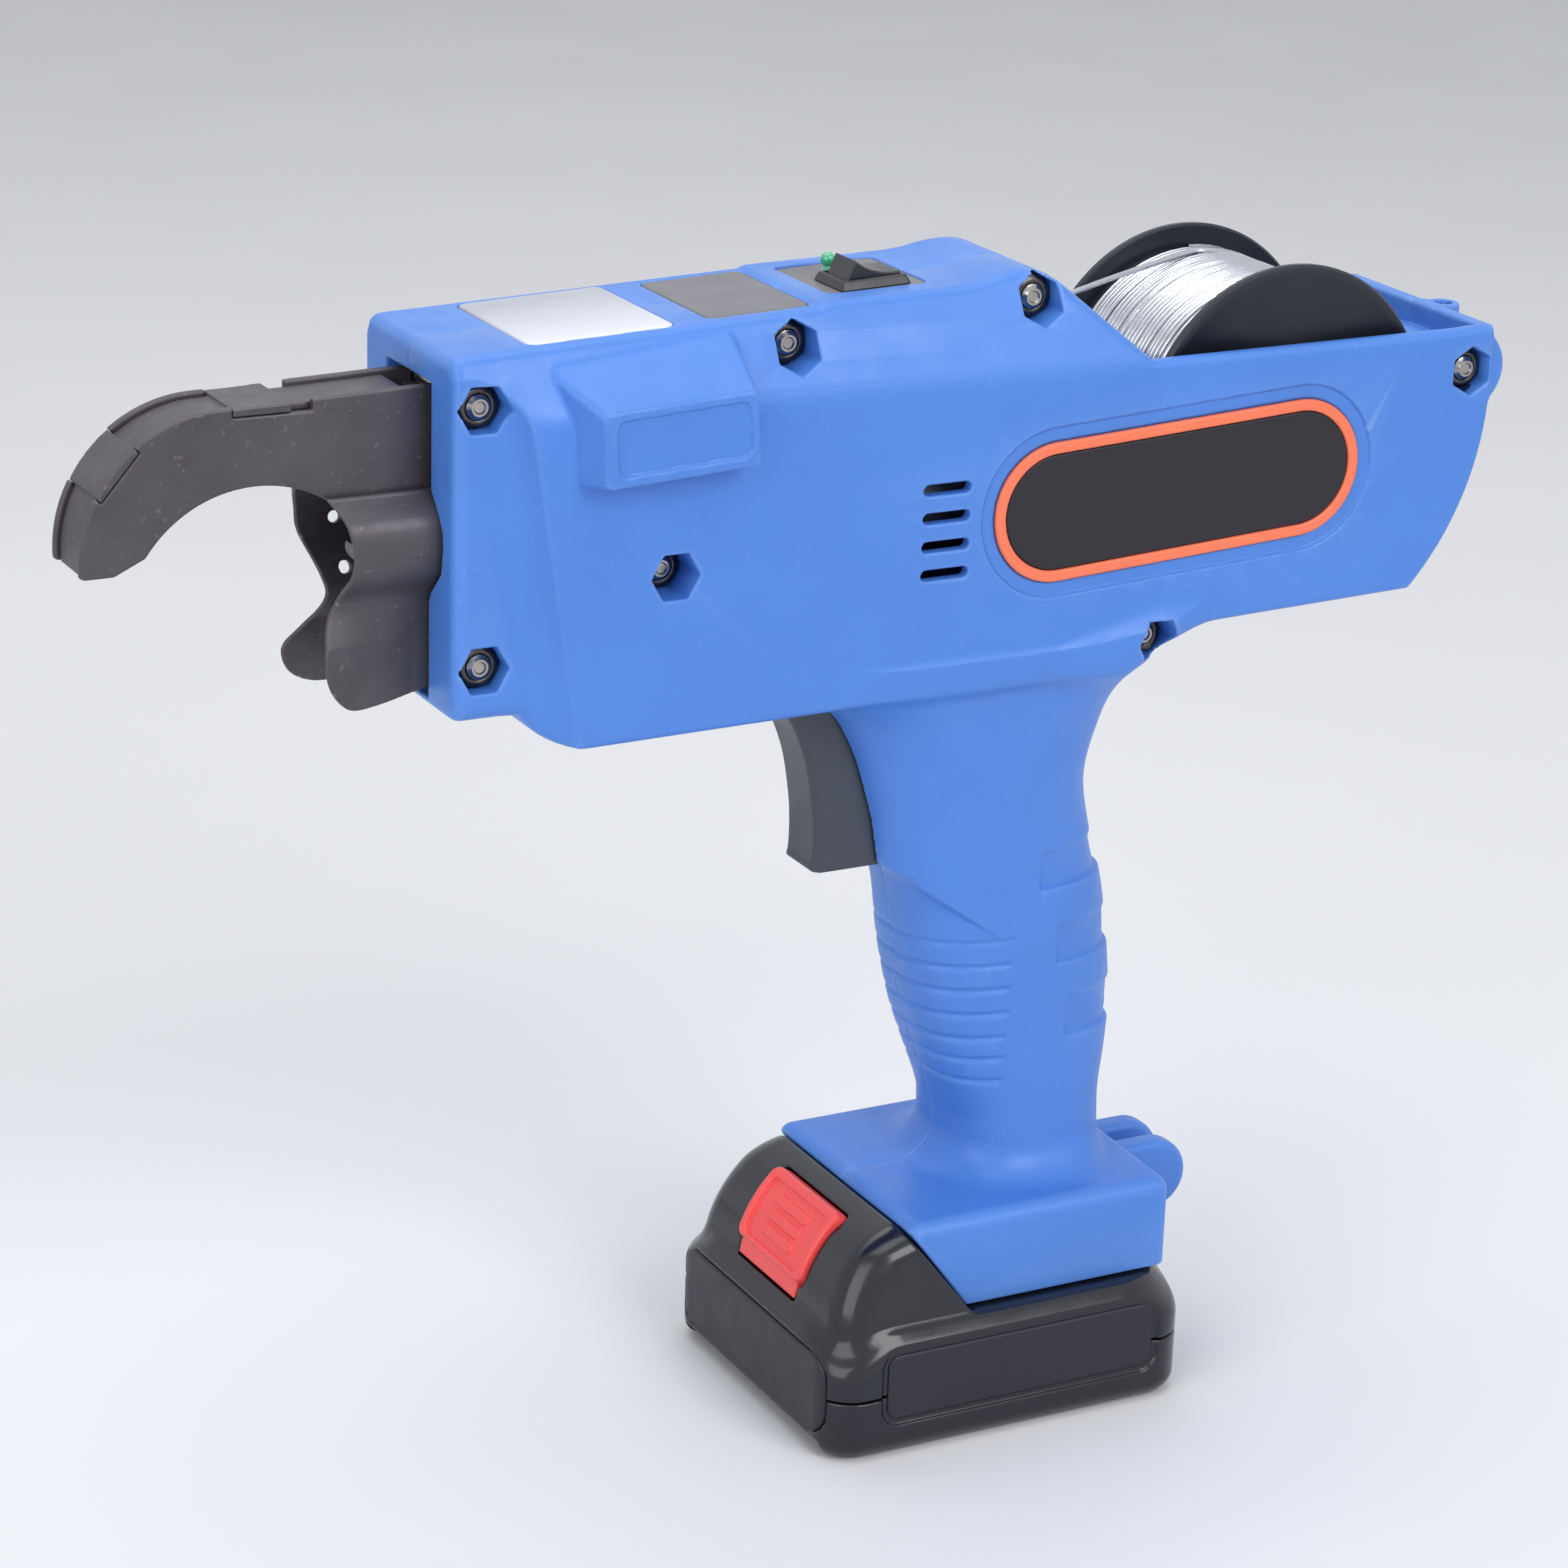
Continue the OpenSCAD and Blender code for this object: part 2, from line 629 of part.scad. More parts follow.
module left_badge_border() { color("#ff8a64") mirror([0, 1, 0]) badge_border(); }
module housing_bolts() {
    color("#8f939a") for (b = bolts()) {
        rod_y(b[0], b[1], bolt_r, -b[2] - nut_t, b[2] + eps);
        difference() {
            rod_y(b[0], b[1], head_r, b[2], b[2] + head_t);
            hex_y(b[0], b[1], nut_af / 2, 0, b[2] + head_t / 2, b[2] + head_t + over);
        }
    }
}
module housing_nuts() {
    color("#a7a9ad") for (b = bolts()) difference() {
        hex_y(b[0], b[1], nut_af, b[4], -b[2] - nut_t, -b[2]);
        rod_y(b[0], b[1], bolt_r + run_gap, -b[2] - nut_t - over, -b[2] + over);
    }
}

// Top window, label, switch group
window_x = nose_x + 32.2;
window_len = 30.5;
window_w = 34;
window_t = 2;
label_x = nose_x + 66;
label_len = 22;
label_w = 31;
label_t = 1.2;
plate_corner = 2;
switch_plate_x = -30;
switch_plate_y = -1.5;
switch_plate_len = 22;
switch_plate_w = 28;
rocker_x = -29.8;
rocker_y = -5.2;
bezel_len = 18.5;
bezel_w = 14.4;
bezel_lip = 1.2;
bezel_h = 2;
bezel_depth = 8;
rocker_len = bezel_len - 2 * bezel_lip - 2;
rocker_w = bezel_w - 2 * bezel_lip - 2;
rocker_pivot_r = 1.2;
led_x = -32.5;
led_y = 5;
led_r = 1.5;
module display_window() {
    color("#c8cbdc") on_top(window_x, 0) translate([0, 0, -window_t])
        linear_extrude(window_t) round_rect(window_len, window_w, plate_corner);
}
display_board_t = 0.8;
module display_board() {
    color("#2f6b45") on_top(window_x, 0) translate([0, 0, -window_t - display_board_t - run_gap])
        linear_extrude(display_board_t) square([window_len - 7, window_w - 7], center = true);
}
module label_plate() {
    color("#737378") on_top(label_x, 0) translate([0, 0, -label_t])
        linear_extrude(label_t) round_rect(label_len, label_w, plate_corner);
}
module switch_plate() {
    color("#737378") difference() {
        on_top(switch_plate_x, switch_plate_y) translate([0, 0, -label_t])
            linear_extrude(label_t) round_rect(switch_plate_len, switch_plate_w, plate_corner);
        switch_room();
        on_top(led_x, led_y) translate([0, 0, -wall]) cylinder(r = led_r + run_gap, h = 2 * wall);
    }
}
module switch_bezel() {
    inner_len = rocker_len + 2 * gap;
    inner_w = rocker_w + 2 * gap;
    color("#2b2c30") on_top(rocker_x, rocker_y) difference() {
        union() {
            linear_extrude(bezel_h) round_rect(bezel_len, bezel_w, 1.5);
            translate([0, 0, -bezel_depth]) linear_extrude(bezel_depth + eps)
                square([bezel_len - 2 * bezel_lip, bezel_w - 2 * bezel_lip], center = true);
        }
        translate([0, 0, -bezel_depth + 1.5]) linear_extrude(bezel_depth + bezel_h)
            square([inner_len, inner_w], center = true);
        rod_y(0, 0, rocker_pivot_r + run_gap, -bezel_w / 2 + over, bezel_w / 2 - over);
    }
}
rocker_arm = rocker_len / 2 - 0.8;
rocker_rise = 3;
rocker_deep = 3;
module power_rocker() {
    color("#1d1e21") on_top(rocker_x, rocker_y) {
        rotate([0, rocker_tilt, 0]) prism_y(-rocker_w / 2, rocker_w / 2)
            polygon([
                [-rocker_arm, rocker_rise], [0, rocker_rise - 1], [rocker_arm, rocker_rise],
                [rocker_arm - 0.6, -rocker_deep / 2], [0, -rocker_deep], [-rocker_arm + 0.6, -rocker_deep / 2]
            ]);
        rod_y(0, 0, rocker_pivot_r, -rocker_w / 2 - 0.8, rocker_w / 2 + 0.8);
    }
}
led_rise = 2.8;
module status_led() {
    color("#5abe96") on_top(led_x, led_y) {
        translate([0, 0, -wall]) cylinder(r = led_r, h = wall + led_rise);
        translate([0, 0, led_rise]) sphere(led_r);
    }
}

// Guide arm
arm_top_z = nose_top_z - 7.6;
arm_root_z = twist_z + 8;
arm_root_x = nose_x + wall + 15;
arm_fall = 1;
arm_bend = [nose_x - arm_reach, arm_top_z - arm_fall - arm_outer_r];
arm_start_x = nose_x - 3;
tab_x = arm_bend[0] + 7.9;
tab_len = 11.6;
tab_room = 4;
bend_tab = 139.4;
strip_sink = 0.8;
function arm_edge(x) = arm_top_z - arm_fall * (arm_start_x - x) / (arm_start_x - arm_bend[0]);
arm_throat = [arm_bend[0] + 6.5, arm_bend[1] - 13.5];
arm_tip_w = 8;
throat_start = 146;
throat_end = 52;
function arm_outer(inset) = arc(arm_bend, arm_outer_r - inset, 90, 183, 14);
module arm_outline() {
    tip = arm_outer(0)[14];
    polygon(concat(
        [[arm_root_x, arm_root_z], [arm_root_x, arm_top_z], [arm_start_x, arm_top_z]],
        arm_outer(0),
        [[tip[0] + 0.6, tip[1] - 0.4], [tip[0] + arm_tip_w - 1.5, tip[1] - 0.4]],
        arc(arm_throat, arm_inner_r, throat_start, throat_end, 12),
        [[arm_throat[0] + arm_inner_r * cos(throat_end) + 6, arm_root_z]]
    ));
}
// Where the strip's second tab sits, below the outer edge of the bend
module on_bend(depth) {
    translate(arm_bend) rotate(bend_tab) translate([arm_outer_r - depth, 0]) children();
}
module arm_plate() {
    b = bolts()[0];
    difference() {
        prism_y(arm_half_w - arm_plate_t, arm_half_w) difference() {
            arm_outline();
            translate([tab_x + tab_room / 2, arm_edge(tab_x)])
                square([tab_len + tab_room, 2 * (strip_t + gap)], center = true);
            on_bend(0) square([2 * (strip_t + gap), tab_len], center = true);
        }
        rod_y(b[0], b[1], bolt_r + bolt_gap, 0, body_half_w);
    }
}
module arm_left_plate() { color("#55505a") mirror([0, 1, 0]) arm_plate(); }
module arm_right_plate() { color("#55505a") arm_plate(); }
module arm_strip() {
    half = arm_half_w - arm_plate_t - run_gap;
    outer = arm_outer(strip_sink);
    inner = arm_outer(strip_sink + strip_t);
    strip_z = arm_top_z - strip_sink;
    color("#5d5862") {
        prism_y(-half, half) polygon(concat(
            [[arm_start_x, strip_z - strip_t], [arm_start_x, strip_z]], outer,
            [for (i = [14:-1:0]) inner[i]]
        ));
        prism_y(-arm_half_w, arm_half_w) translate([tab_x, arm_edge(tab_x) - strip_t / 2 - run_gap])
            square([tab_len - 2 * gap, strip_t], center = true);
        prism_y(-arm_half_w, arm_half_w) on_bend(strip_t / 2 + run_gap)
            square([strip_t, tab_len - 2 * gap], center = true);
    }
}
spacer_x0 = nose_x + wall / 2;
module arm_spacer() {
    half = arm_half_w - arm_plate_t - run_gap;
    b = bolts()[0];
    color("#8c9096") difference() {
        block(spacer_x0, arm_root_x, -half, half, arm_root_z + 0.6, arm_top_z - strip_sink - strip_t - gap);
        rod_y(b[0], b[1], bolt_r + bolt_gap, -arm_half_w, arm_half_w);
        rod_x(wire_z, wire_d, spacer_x0 - over, arm_root_x + over);
    }
}

// Lower guides, formed sheet with a bulge round the twist hook
guide_neck_w = arm_half_w + guide_t + gap;
guide_base_w = guide_neck_w + 1.1;
guide_top_z = arm_root_z + 1.4;
guide_low_z = nose_floor_z + wall + gap;
guide_root_x = nose_x + 17;
lobe_r = 10.5;
lobe_z = nose_floor_z - over;
function guide_line(inset) = [
    [guide_neck_w - inset, guide_top_z], [guide_bulge_w - inset, twist_z + 3],
    [guide_bulge_w - inset, twist_z - 3], [guide_neck_w + 0.1 - inset, twist_z - 11.2],
    [guide_base_w - inset, lobe_z]
];
module guide_cheek(far) {
    b = bolts()[1];
    inner = guide_line(guide_t);
    front = nose_x - guide_reach;
    difference() {
        intersection() {
            prism_x(front - 5, guide_root_x) polygon(concat(guide_line(0), [for (i = [4:-1:0]) inner[i]]));
            prism_y(0, body_half_w) polygon(concat(
                [[guide_root_x, guide_top_z], [front + 2, guide_top_z]],
                [[front + 3, twist_z + 1.4], [front + 3, twist_z - 3], [front + 2, twist_z - 11]],
                arc([front - 1 + lobe_r, nose_floor_z + 9.9], lobe_r, 150, 262, 10),
                [[nose_x - 2.6, nose_floor_z + 1.4], [nose_x - 2.6, guide_low_z], [guide_root_x, guide_low_z]]
            ));
        }
        rod_y(b[0], b[1], bolt_r + bolt_gap, 0, body_half_w);
        if (far) for (z = [twist_z - 12.5, twist_z - 1.5]) rod_y(front + 11, z, 1.2, 0, body_half_w);
    }
}
module lower_guide_left() { color("#5a555f") mirror([0, 1, 0]) guide_cheek(false); }
module lower_guide_right() { color("#5a555f") guide_cheek(true); }

// Twist train: motor, planetary gears, shaft and hook on one axis
sun_n = 12;
planet_n = 15;
ring_n = 42;
planet_count = 3;
planet_arm = gear_module * (sun_n + planet_n) / 2;
gear_x0 = motor_front_x - 2 - gear_w;
carrier_t = 4;
carrier_gap = 0.5;
carrier_x1 = gear_x0 - carrier_gap;
carrier_r = planet_arm + 2.6;
pin_r = 1.5;
tooth_play = 0.05;
pressure_angle = 20;
addendum = 0.9;
dedendum = 1.2;
function involute(a) = tan(a) - a * PI / 180;
function flank_angle(r, rb, half) =
    r <= rb ? half + involute(pressure_angle) * 180 / PI
        : half + (involute(pressure_angle) - involute(acos(rb / r))) * 180 / PI;
// Outline of a spur gear with a tooth on the angle 0; play widens the gaps between teeth
function gear_outline(n, m, add, ded, play) =
    let (rp = n * m / 2, rb = rp * cos(pressure_angle), ra = rp + add * m, rf = rp - ded * m)
    let (half = 90 / n - play * 180 / (PI * rp), radii = [rf, max(rb, rf + 0.1 * m), rp, (rp + ra) / 2, ra])
    [for (i = [0:n - 1]) each concat(
        [for (r = radii) let (a = 360 * i / n - flank_angle(r, rb, half)) r * [cos(a), sin(a)]],
        [for (k = [4:-1:0]) let (r = radii[k], a = 360 * i / n + flank_angle(r, rb, half))
            r * [cos(a), sin(a)]]
    )];
module spur(n, m) { polygon(gear_outline(n, m, addendum, dedendum, tooth_play)); }
module on_axis() { translate([0, 0, twist_z]) children(); }
module gearbox_case() {
    color("#6b6f76") on_axis() difference() {
        rod_x(0, gearbox_r, gearbox_front_x, motor_front_x);
        rod_x(0, shaft_r + run_gap, gearbox_front_x - over, 0);
        rod_x(0, carrier_r + 0.6, gearbox_front_x + 1.8, gear_x0 - carrier_gap / 2);
        prism_x(gear_x0 - carrier_gap, motor_front_x + over)
            polygon(gear_outline(ring_n, gear_module, dedendum, addendum, -tooth_play));
    }
}
module twist_motor() {
    color("#9a9da3") on_axis() difference() {
        union() {
            rod_x(0, motor_r, motor_front_x, motor_back_x);
            rod_x(0, motor_r / 3, motor_back_x - eps, motor_back_x + 3);
        }
        rod_x(0, pin_r + run_gap, motor_front_x - over, motor_front_x + 9);
    }
}
module sun_gear() {
    color("#c2a24e") on_axis() {
        prism_x(gear_x0, motor_front_x - 1) spur(sun_n, gear_module);
        rod_x(0, pin_r, motor_front_x - 1 - eps, motor_front_x + 8);
    }
}
module planet_gear(k) {
    a = 360 * k / planet_count;
    color("#b8bcc2") on_axis() translate([0, planet_arm * cos(a), planet_arm * sin(a)]) difference() {
        prism_x(gear_x0, gear_x0 + gear_w) rotate(a) spur(planet_n, gear_module);
        rod_x(0, pin_r + run_gap, gear_x0 - over, gear_x0 + gear_w + over);
    }
}
module planet_gear_1() { planet_gear(0); }
module planet_gear_2() { planet_gear(1); }
module planet_gear_3() { planet_gear(2); }
shaft_front_x = nose_x;
module planet_carrier() {
    color("#84888f") on_axis() {
        rod_x(0, carrier_r, carrier_x1 - carrier_t, carrier_x1);
        rod_x(0, shaft_r, shaft_front_x, carrier_x1 - carrier_t + eps);
        for (k = [0:planet_count - 1]) let (a = 360 * k / planet_count)
            translate([0, planet_arm * cos(a), planet_arm * sin(a)])
                rod_x(0, pin_r, carrier_x1 - eps, gear_x0 + gear_w);
    }
}
plate_x0 = nose_x + 11;
plate_x1 = nose_x + 16;
module bearing_plate() {
    half = guide_neck_w - guide_t - 0.3;
    color("#74777d") difference() {
        block(plate_x0, plate_x1, -half, half, guide_low_z + 4, arm_root_z - 0.3);
        on_axis() rod_x(0, shaft_r + run_gap, plate_x0 - over, plate_x1 + over);
    }
}
hook_x0 = nose_x - 12;
hook_x1 = nose_x + 10;
hook_hub_r = 5;
module twist_hook() {
    color("#6e6c72") on_axis() difference() {
        union() {
            rod_x(0, hook_hub_r, nose_x - 4, hook_x1);
            for (a = [0, 180]) rotate([a, 0, 0]) prism_y(-2, 2) polygon(concat(
                [[nose_x, 1.5], [nose_x, hook_r - 0.4], [hook_x0 + 3, hook_r - 0.4]],
                arc([hook_x0 + 3, hook_r - 3.4], 3, 90, 200, 6),
                [[hook_x0 + 2.5, hook_r - 3.6], [nose_x - 5, hook_r - 3.6], [nose_x - 6, 1.5]]
            ));
        }
        rod_x(0, shaft_r + run_gap, shaft_front_x - 0.8, hook_x1 + over);
    }
}

// Wire feed: gear pair on the left, roller pair on the wire
wire_z = twist_z + 12.5;
feed_x = nose_x + 34;
feed_z = wire_z + wire_d / 2 + feed_r;
tube_r = 1.5;
inlet_x = crest_x + 7;
inlet_z = crest_z - slope_recess - slope * (inlet_x - crest_x) - 0.5;
tube_x0 = feed_x + feed_r + 1;
tube_rise = atan2(inlet_z - wire_z, inlet_x - feed_x);
tube_len = (inlet_x - tube_x0) / cos(tube_rise);
feed_n = 28;
pinion_n = 12;
feed_gear_r = feed_module * feed_n / 2;
feed_gear_w = 4;
feed_gear_y = 13.5;
feed_span = feed_module * (feed_n + pinion_n) / 2;
feed_lift = 14;
feed_line = tube_rise + feed_lift;
feed_motor_x = feed_x + feed_span * cos(feed_line);
feed_motor_z = feed_z + feed_span * sin(feed_line);
feed_motor_y0 = -11.5;
feed_motor_y1 = 17;
roller_half_w = 4.8;
roller_shaft_r = 2;
bracket_half_w = 9;
bracket_t = 2;
bracket_in_w = bracket_half_w - bracket_t;
bracket_cut_w = bracket_half_w + over;
bracket_x0 = feed_x - 15.5;
bracket_x1 = feed_x + 27;
bracket_z0 = twist_z + shaft_r + 1;
bracket_z1 = feed_motor_z + feed_motor_r - 2;
pinch_z = wire_z - wire_d / 2 - pinch_r;
lever_x = feed_x + 14;
lever_pin_r = 1.5;
module feed_bracket() {
    color("#7f838a") difference() {
        union() {
            for (s = [-1, 1]) on_side(s)
                block(bracket_x0, bracket_x1, bracket_in_w, bracket_half_w, bracket_z0, bracket_z1);
            block(bracket_x1 - 3, bracket_x1, -bracket_half_w, bracket_half_w, bracket_z0, bracket_z1);
        }
        rod_y(feed_x, feed_z, roller_shaft_r + run_gap, -bracket_cut_w, bracket_cut_w);
        rod_y(lever_x, pinch_z, lever_pin_r + run_gap, -bracket_cut_w, bracket_cut_w);
        rod_y(feed_motor_x, feed_motor_z, feed_motor_r + run_gap, -bracket_cut_w, bracket_cut_w);
        tube_path() cylinder(r = tube_r + run_gap, h = tube_len);
    }
}
module feed_motor() {
    color("#a4a7ac") difference() {
        rod_y(feed_motor_x, feed_motor_z, feed_motor_r, feed_motor_y0, feed_motor_y1);
        rod_y(feed_motor_x, feed_motor_z, pin_r + run_gap, feed_motor_y0 - over, feed_motor_y0 + 8);
    }
}
module feed_pinion() {
    color("#c2a24e") {
        prism_y(-feed_gear_y - feed_gear_w, -feed_gear_y) translate([feed_motor_x, feed_motor_z])
            rotate(feed_line + 180 + 180 / pinion_n) spur(pinion_n, feed_module);
        rod_y(feed_motor_x, feed_motor_z, pin_r, -feed_gear_y - eps, feed_motor_y0 + 7);
    }
}
module feed_gear() {
    color("#d8d5cb") difference() {
        prism_y(-feed_gear_y - feed_gear_w, -feed_gear_y) translate([feed_x, feed_z])
            rotate(feed_line) spur(feed_n, feed_module);
        rod_y(feed_x, feed_z, roller_shaft_r, -feed_gear_y - feed_gear_w - over, -feed_gear_y + over);
    }
}
module feed_roller() {
    color("#9ea2a8") {
        rod_y(feed_x, feed_z, feed_r, -roller_half_w, roller_half_w);
        rod_y(feed_x, feed_z, roller_shaft_r, -feed_gear_y - feed_gear_w, bracket_half_w + 1);
    }
}
module lever_pin() {
    color("#b0b3b8") rod_y(lever_x, pinch_z, lever_pin_r, -bracket_half_w, bracket_half_w);
}
lever_cheek = 1.2;
lever_h = 2.3;
axle_pin_r = 1.2;
module pinch_lever() {
    cheek_y = roller_half_w + 0.3;
    color("#7a7d84") difference() {
        union() {
            for (s = [-1, 1]) on_side(s) prism_y(cheek_y, cheek_y + lever_cheek) {
                translate([feed_x, pinch_z]) circle(lever_h);
                translate([lever_x, pinch_z]) circle(lever_h);
                translate([feed_x, pinch_z - lever_h]) square([lever_x - feed_x, 2 * lever_h]);
            }
            rod_y(lever_x, pinch_z, lever_h, -cheek_y - eps, cheek_y + eps);
            rod_y(feed_x, pinch_z, axle_pin_r, -cheek_y - eps, cheek_y + eps);
        }
        rod_y(lever_x, pinch_z, lever_pin_r + run_gap, -bracket_half_w, bracket_half_w);
    }
}
module pinch_roller() {
    color("#b4b7bc") difference() {
        rod_y(feed_x, pinch_z, pinch_r, -roller_half_w, roller_half_w);
        rod_y(feed_x, pinch_z, axle_pin_r + run_gap, -roller_half_w - over, roller_half_w + over);
    }
}

// Guide tube from the bay to the feed rollers
module tube_path() {
    tube_z0 = wire_z + (tube_x0 - feed_x) * tan(tube_rise);
    translate([tube_x0, 0, tube_z0]) rotate([0, 90 - tube_rise, 0]) children();
}
module wire_tube() {
    color("#c9ccd2") difference() {
        tube_path() cylinder(r = tube_r, h = tube_len);
        tube_path() translate([0, 0, -over]) cylinder(r = wire_d / 2 + 0.25, h = tube_len + 2 * over);
    }
}
module rod_through_slope() {
    tube_path() cylinder(r = tube_r + run_gap, h = tube_len + 8);
}

// Reel
axle_half_len = body_half_w - badge_t - 0.6;
hub_bore_r = axle_r + run_gap;
loop_rings = 24;
wire_line_r = winding_r - wire_d / 2;
core_r = wire_line_r * cos(180 / loop_rings) - wire_d / 2 - run_gap;
winding_half_w = spool_half_w - flange_t - 0.6;
module spool_axle() {
    half = axle_half_len - 0.2;
    color("#aaadb3") rod_y(spool_x, spool_z, axle_r, -half, half);
}
module wire_spool() {
    color("#262933") difference() {
        union() {
            for (s = [-1, 1]) on_side(s)
                rod_y(spool_x, spool_z, spool_r, spool_half_w - flange_t, spool_half_w);
            rod_y(spool_x, spool_z, hub_r, -spool_half_w + eps, spool_half_w - eps);
        }
        rod_y(spool_x, spool_z, hub_bore_r, -spool_half_w - over, spool_half_w + over);
    }
}
module wire_core() {
    color("#9a9a9e") difference() {
        rod_y(spool_x, spool_z, core_r, -spool_half_w + flange_t, spool_half_w - flange_t);
        rod_y(spool_x, spool_z, hub_r + run_gap, -spool_half_w, spool_half_w);
    }
}
// One unbroken tube round the core, with straight ends one wire diameter long
tube_sides = 6;
wire_pitch = 2 * (winding_half_w - wire_d / 2) / wire_loops;
ring_count = wire_loops * loop_rings;
function winding_point(i) = let (a = 90 + 360 * i / loop_rings)
    [wire_line_r * cos(a), -winding_half_w + wire_d / 2 + wire_pitch * i / loop_rings, wire_line_r * sin(a)];
function winding_along(i) = let (a = 90 + 360 * i / loop_rings, run = wire_pitch / (2 * PI * wire_line_r))
    [-sin(a), run, cos(a)] / norm([1, run]);
function winding_path() = concat(
    [winding_point(0) - wire_d * winding_along(0)],
    [for (i = [0:ring_count]) winding_point(i)],
    [winding_point(ring_count) + wire_d * winding_along(ring_count)]
);
function winding_turn(j) = min(max(j - 1, 0), ring_count);
// Least distance from a path point to the points of the next loop, less the wire
winding_gap = min([for (i = [0:loop_rings]) for (k = [-6:6])
    norm(winding_point(loop_rings) - winding_point(2 * loop_rings + k)) - wire_d]);
echo(winding_gap = winding_gap);
// Sweeps a tube along points, given the outward and sideways directions at each
module tube(points, out, side, r) {
    n = len(points);
    verts = [for (j = [0:n - 1]) for (k = [0:tube_sides - 1])
        points[j] + r * (out[j] * cos(360 * k / tube_sides) + side[j] * sin(360 * k / tube_sides))];
    quads = [for (j = [0:n - 2]) for (k = [0:tube_sides - 1]) let (k2 = (k + 1) % tube_sides) each [
        [j * tube_sides + k, j * tube_sides + k2, (j + 1) * tube_sides + k2],
        [j * tube_sides + k, (j + 1) * tube_sides + k2, (j + 1) * tube_sides + k]
    ]];
    caps = [[for (k = [tube_sides - 1:-1:0]) k], [for (k = [0:tube_sides - 1]) (n - 1) * tube_sides + k]];
    polyhedron(verts, concat(quads, caps), convexity = 10);
}
module wire_winding() {
    path = winding_path();
    out = [for (j = [0:len(path) - 1]) let (a = 90 + 360 * winding_turn(j) / loop_rings) [cos(a), 0, sin(a)]];
    side = [for (j = [0:len(path) - 1]) cross(out[j], winding_along(winding_turn(j)))];
    color("#bfc1c6") translate([spool_x, 0, spool_z]) tube(path, out, side, wire_d / 2);
}
// Free end of the wire, lying on the winding and running into the guide tube
strand_y = 14;
strand_lift = wire_d + 0.3;
strand_bend = 24;
function strand_route() =
    let (r = wire_line_r + strand_lift, end = [inlet_x + 1, 0, inlet_z + tan(tube_rise)])
    let (lay = [for (a = [90 - strand_bend:8:90 + 8]) [spool_x + r * cos(a), strand_y, spool_z + r * sin(a)]])
    concat(lay, [for (t = [0.25, 0.5, 0.75, 1]) lay[len(lay) - 1] * (1 - t) + end * t]);
module wire_strand() {
    path = strand_route();
    n = len(path);
    along = [for (j = [0:n - 1]) let (d = path[min(j + 1, n - 1)] - path[max(j - 1, 0)]) d / norm(d)];
    side = [for (d = along) let (c = cross(d, [0, 0, 1])) c / norm(c)];
    out = [for (j = [0:n - 1]) cross(side[j], along[j])];
    color("#bfc1c6") tube(path, side, out, wire_d / 2);
}

// Trigger and electrics in the grip
trigger_z0 = floor_z - 42.3;
trigger_z1 = floor_z - 0.5;
trigger_back_x = -20;
module trigger() {
    color("#464b55") prism_y(-trigger_w / 2, trigger_w / 2) polygon(concat(
        [[trigger_back_x, trigger_z0], [-32, trigger_z0]],
        arc([-33, trigger_z0 + 4], 4, 250, 180, 4),
        [[-37.9, trigger_z0 + 21], [-40.5, trigger_z0 + 31], [-41.8, trigger_z0 + 36], [-42.2, trigger_z1]],
        [[trigger_back_x, trigger_z1]]
    ));
}
switch_x0 = trigger_back_x + trigger_travel + 1.5;
switch_x1 = switch_x0 + 17;
switch_z0 = floor_z - 36;
switch_z1 = floor_z - 14;
switch_half_w = 8;
module trigger_switch() {
    color("#3a3c42") block(switch_x0, switch_x1, -switch_half_w, switch_half_w, switch_z0, switch_z1);
}
module control_board() {
    color("#2f6b45") block(board_x0, board_x1, -board_t / 2, board_t / 2, board_z0, board_z1);
}
terminal_z0 = rail_z1 + 2.5;
module terminal_block() {
    color("#3a3c42") block(4, foot_back - wall - 0.9, -14, 14, terminal_z0, terminal_z0 + 4);
}
module strap_pin() { color("#8f939a") rod_y(lug_x, lug_z, strap_pin_r, -strap_pin_half, strap_pin_half); }

// Battery
hump_r = 28.75;
hump_top_z = foot_top_z - 0.5;
hump_c = [-battery_front + 32, hump_top_z - 25.4];
hump_start = 180 - asin((battery_h - hump_c[1]) / hump_r);
hump_end = 180 - asin((hump_top_z - hump_c[1]) / hump_r);
button_slope = 56.4;
function battery_outline() = concat(
    [[battery_back, 0], [-battery_front + 5, 0], [-battery_front + 1, 5], [-battery_front, 18]],
    [[-battery_front + 0.4, battery_h - 1.4], [-battery_front + 1.6, battery_h]],
    arc(hump_c, hump_r, hump_start, hump_end, 10),
    [[-foot_front - foot_lip - gap, hump_top_z], [-foot_front - foot_lip - gap, hump_top_z - 2]],
    [[-foot_front + foot_cut_run - 2 * gap, battery_h], [battery_back, battery_h]]
);
module battery_solid() {
    intersection() {
        prism_y(-battery_half_w, battery_half_w) polygon(battery_outline());
        linear_extrude(2 * foot_top_z) translate([(battery_back - battery_front) / 2, 0])
            round_rect(battery_back + battery_front, 2 * battery_half_w, battery_corner_r);
        prism_x(-battery_front - over, battery_back + over) polygon([
            [-battery_half_w + 2, 0], [-battery_half_w, 3], [-battery_half_w, battery_h - 2],
            [-battery_half_w + 2, battery_h], [-foot_half_w + 1, battery_h], [-foot_half_w + 5, hump_top_z],
            [foot_half_w - 5, hump_top_z], [foot_half_w - 1, battery_h], [battery_half_w - 2, battery_h],
            [battery_half_w, battery_h - 2], [battery_half_w, 3], [battery_half_w - 2, 0]
        ]);
    }
}
cell_room_x = -battery_front + 6;
module battery_room() {
    half = battery_half_w - battery_wall;
    block(cell_room_x, battery_back - battery_wall, -half, half, battery_wall, battery_h - battery_wall);
}
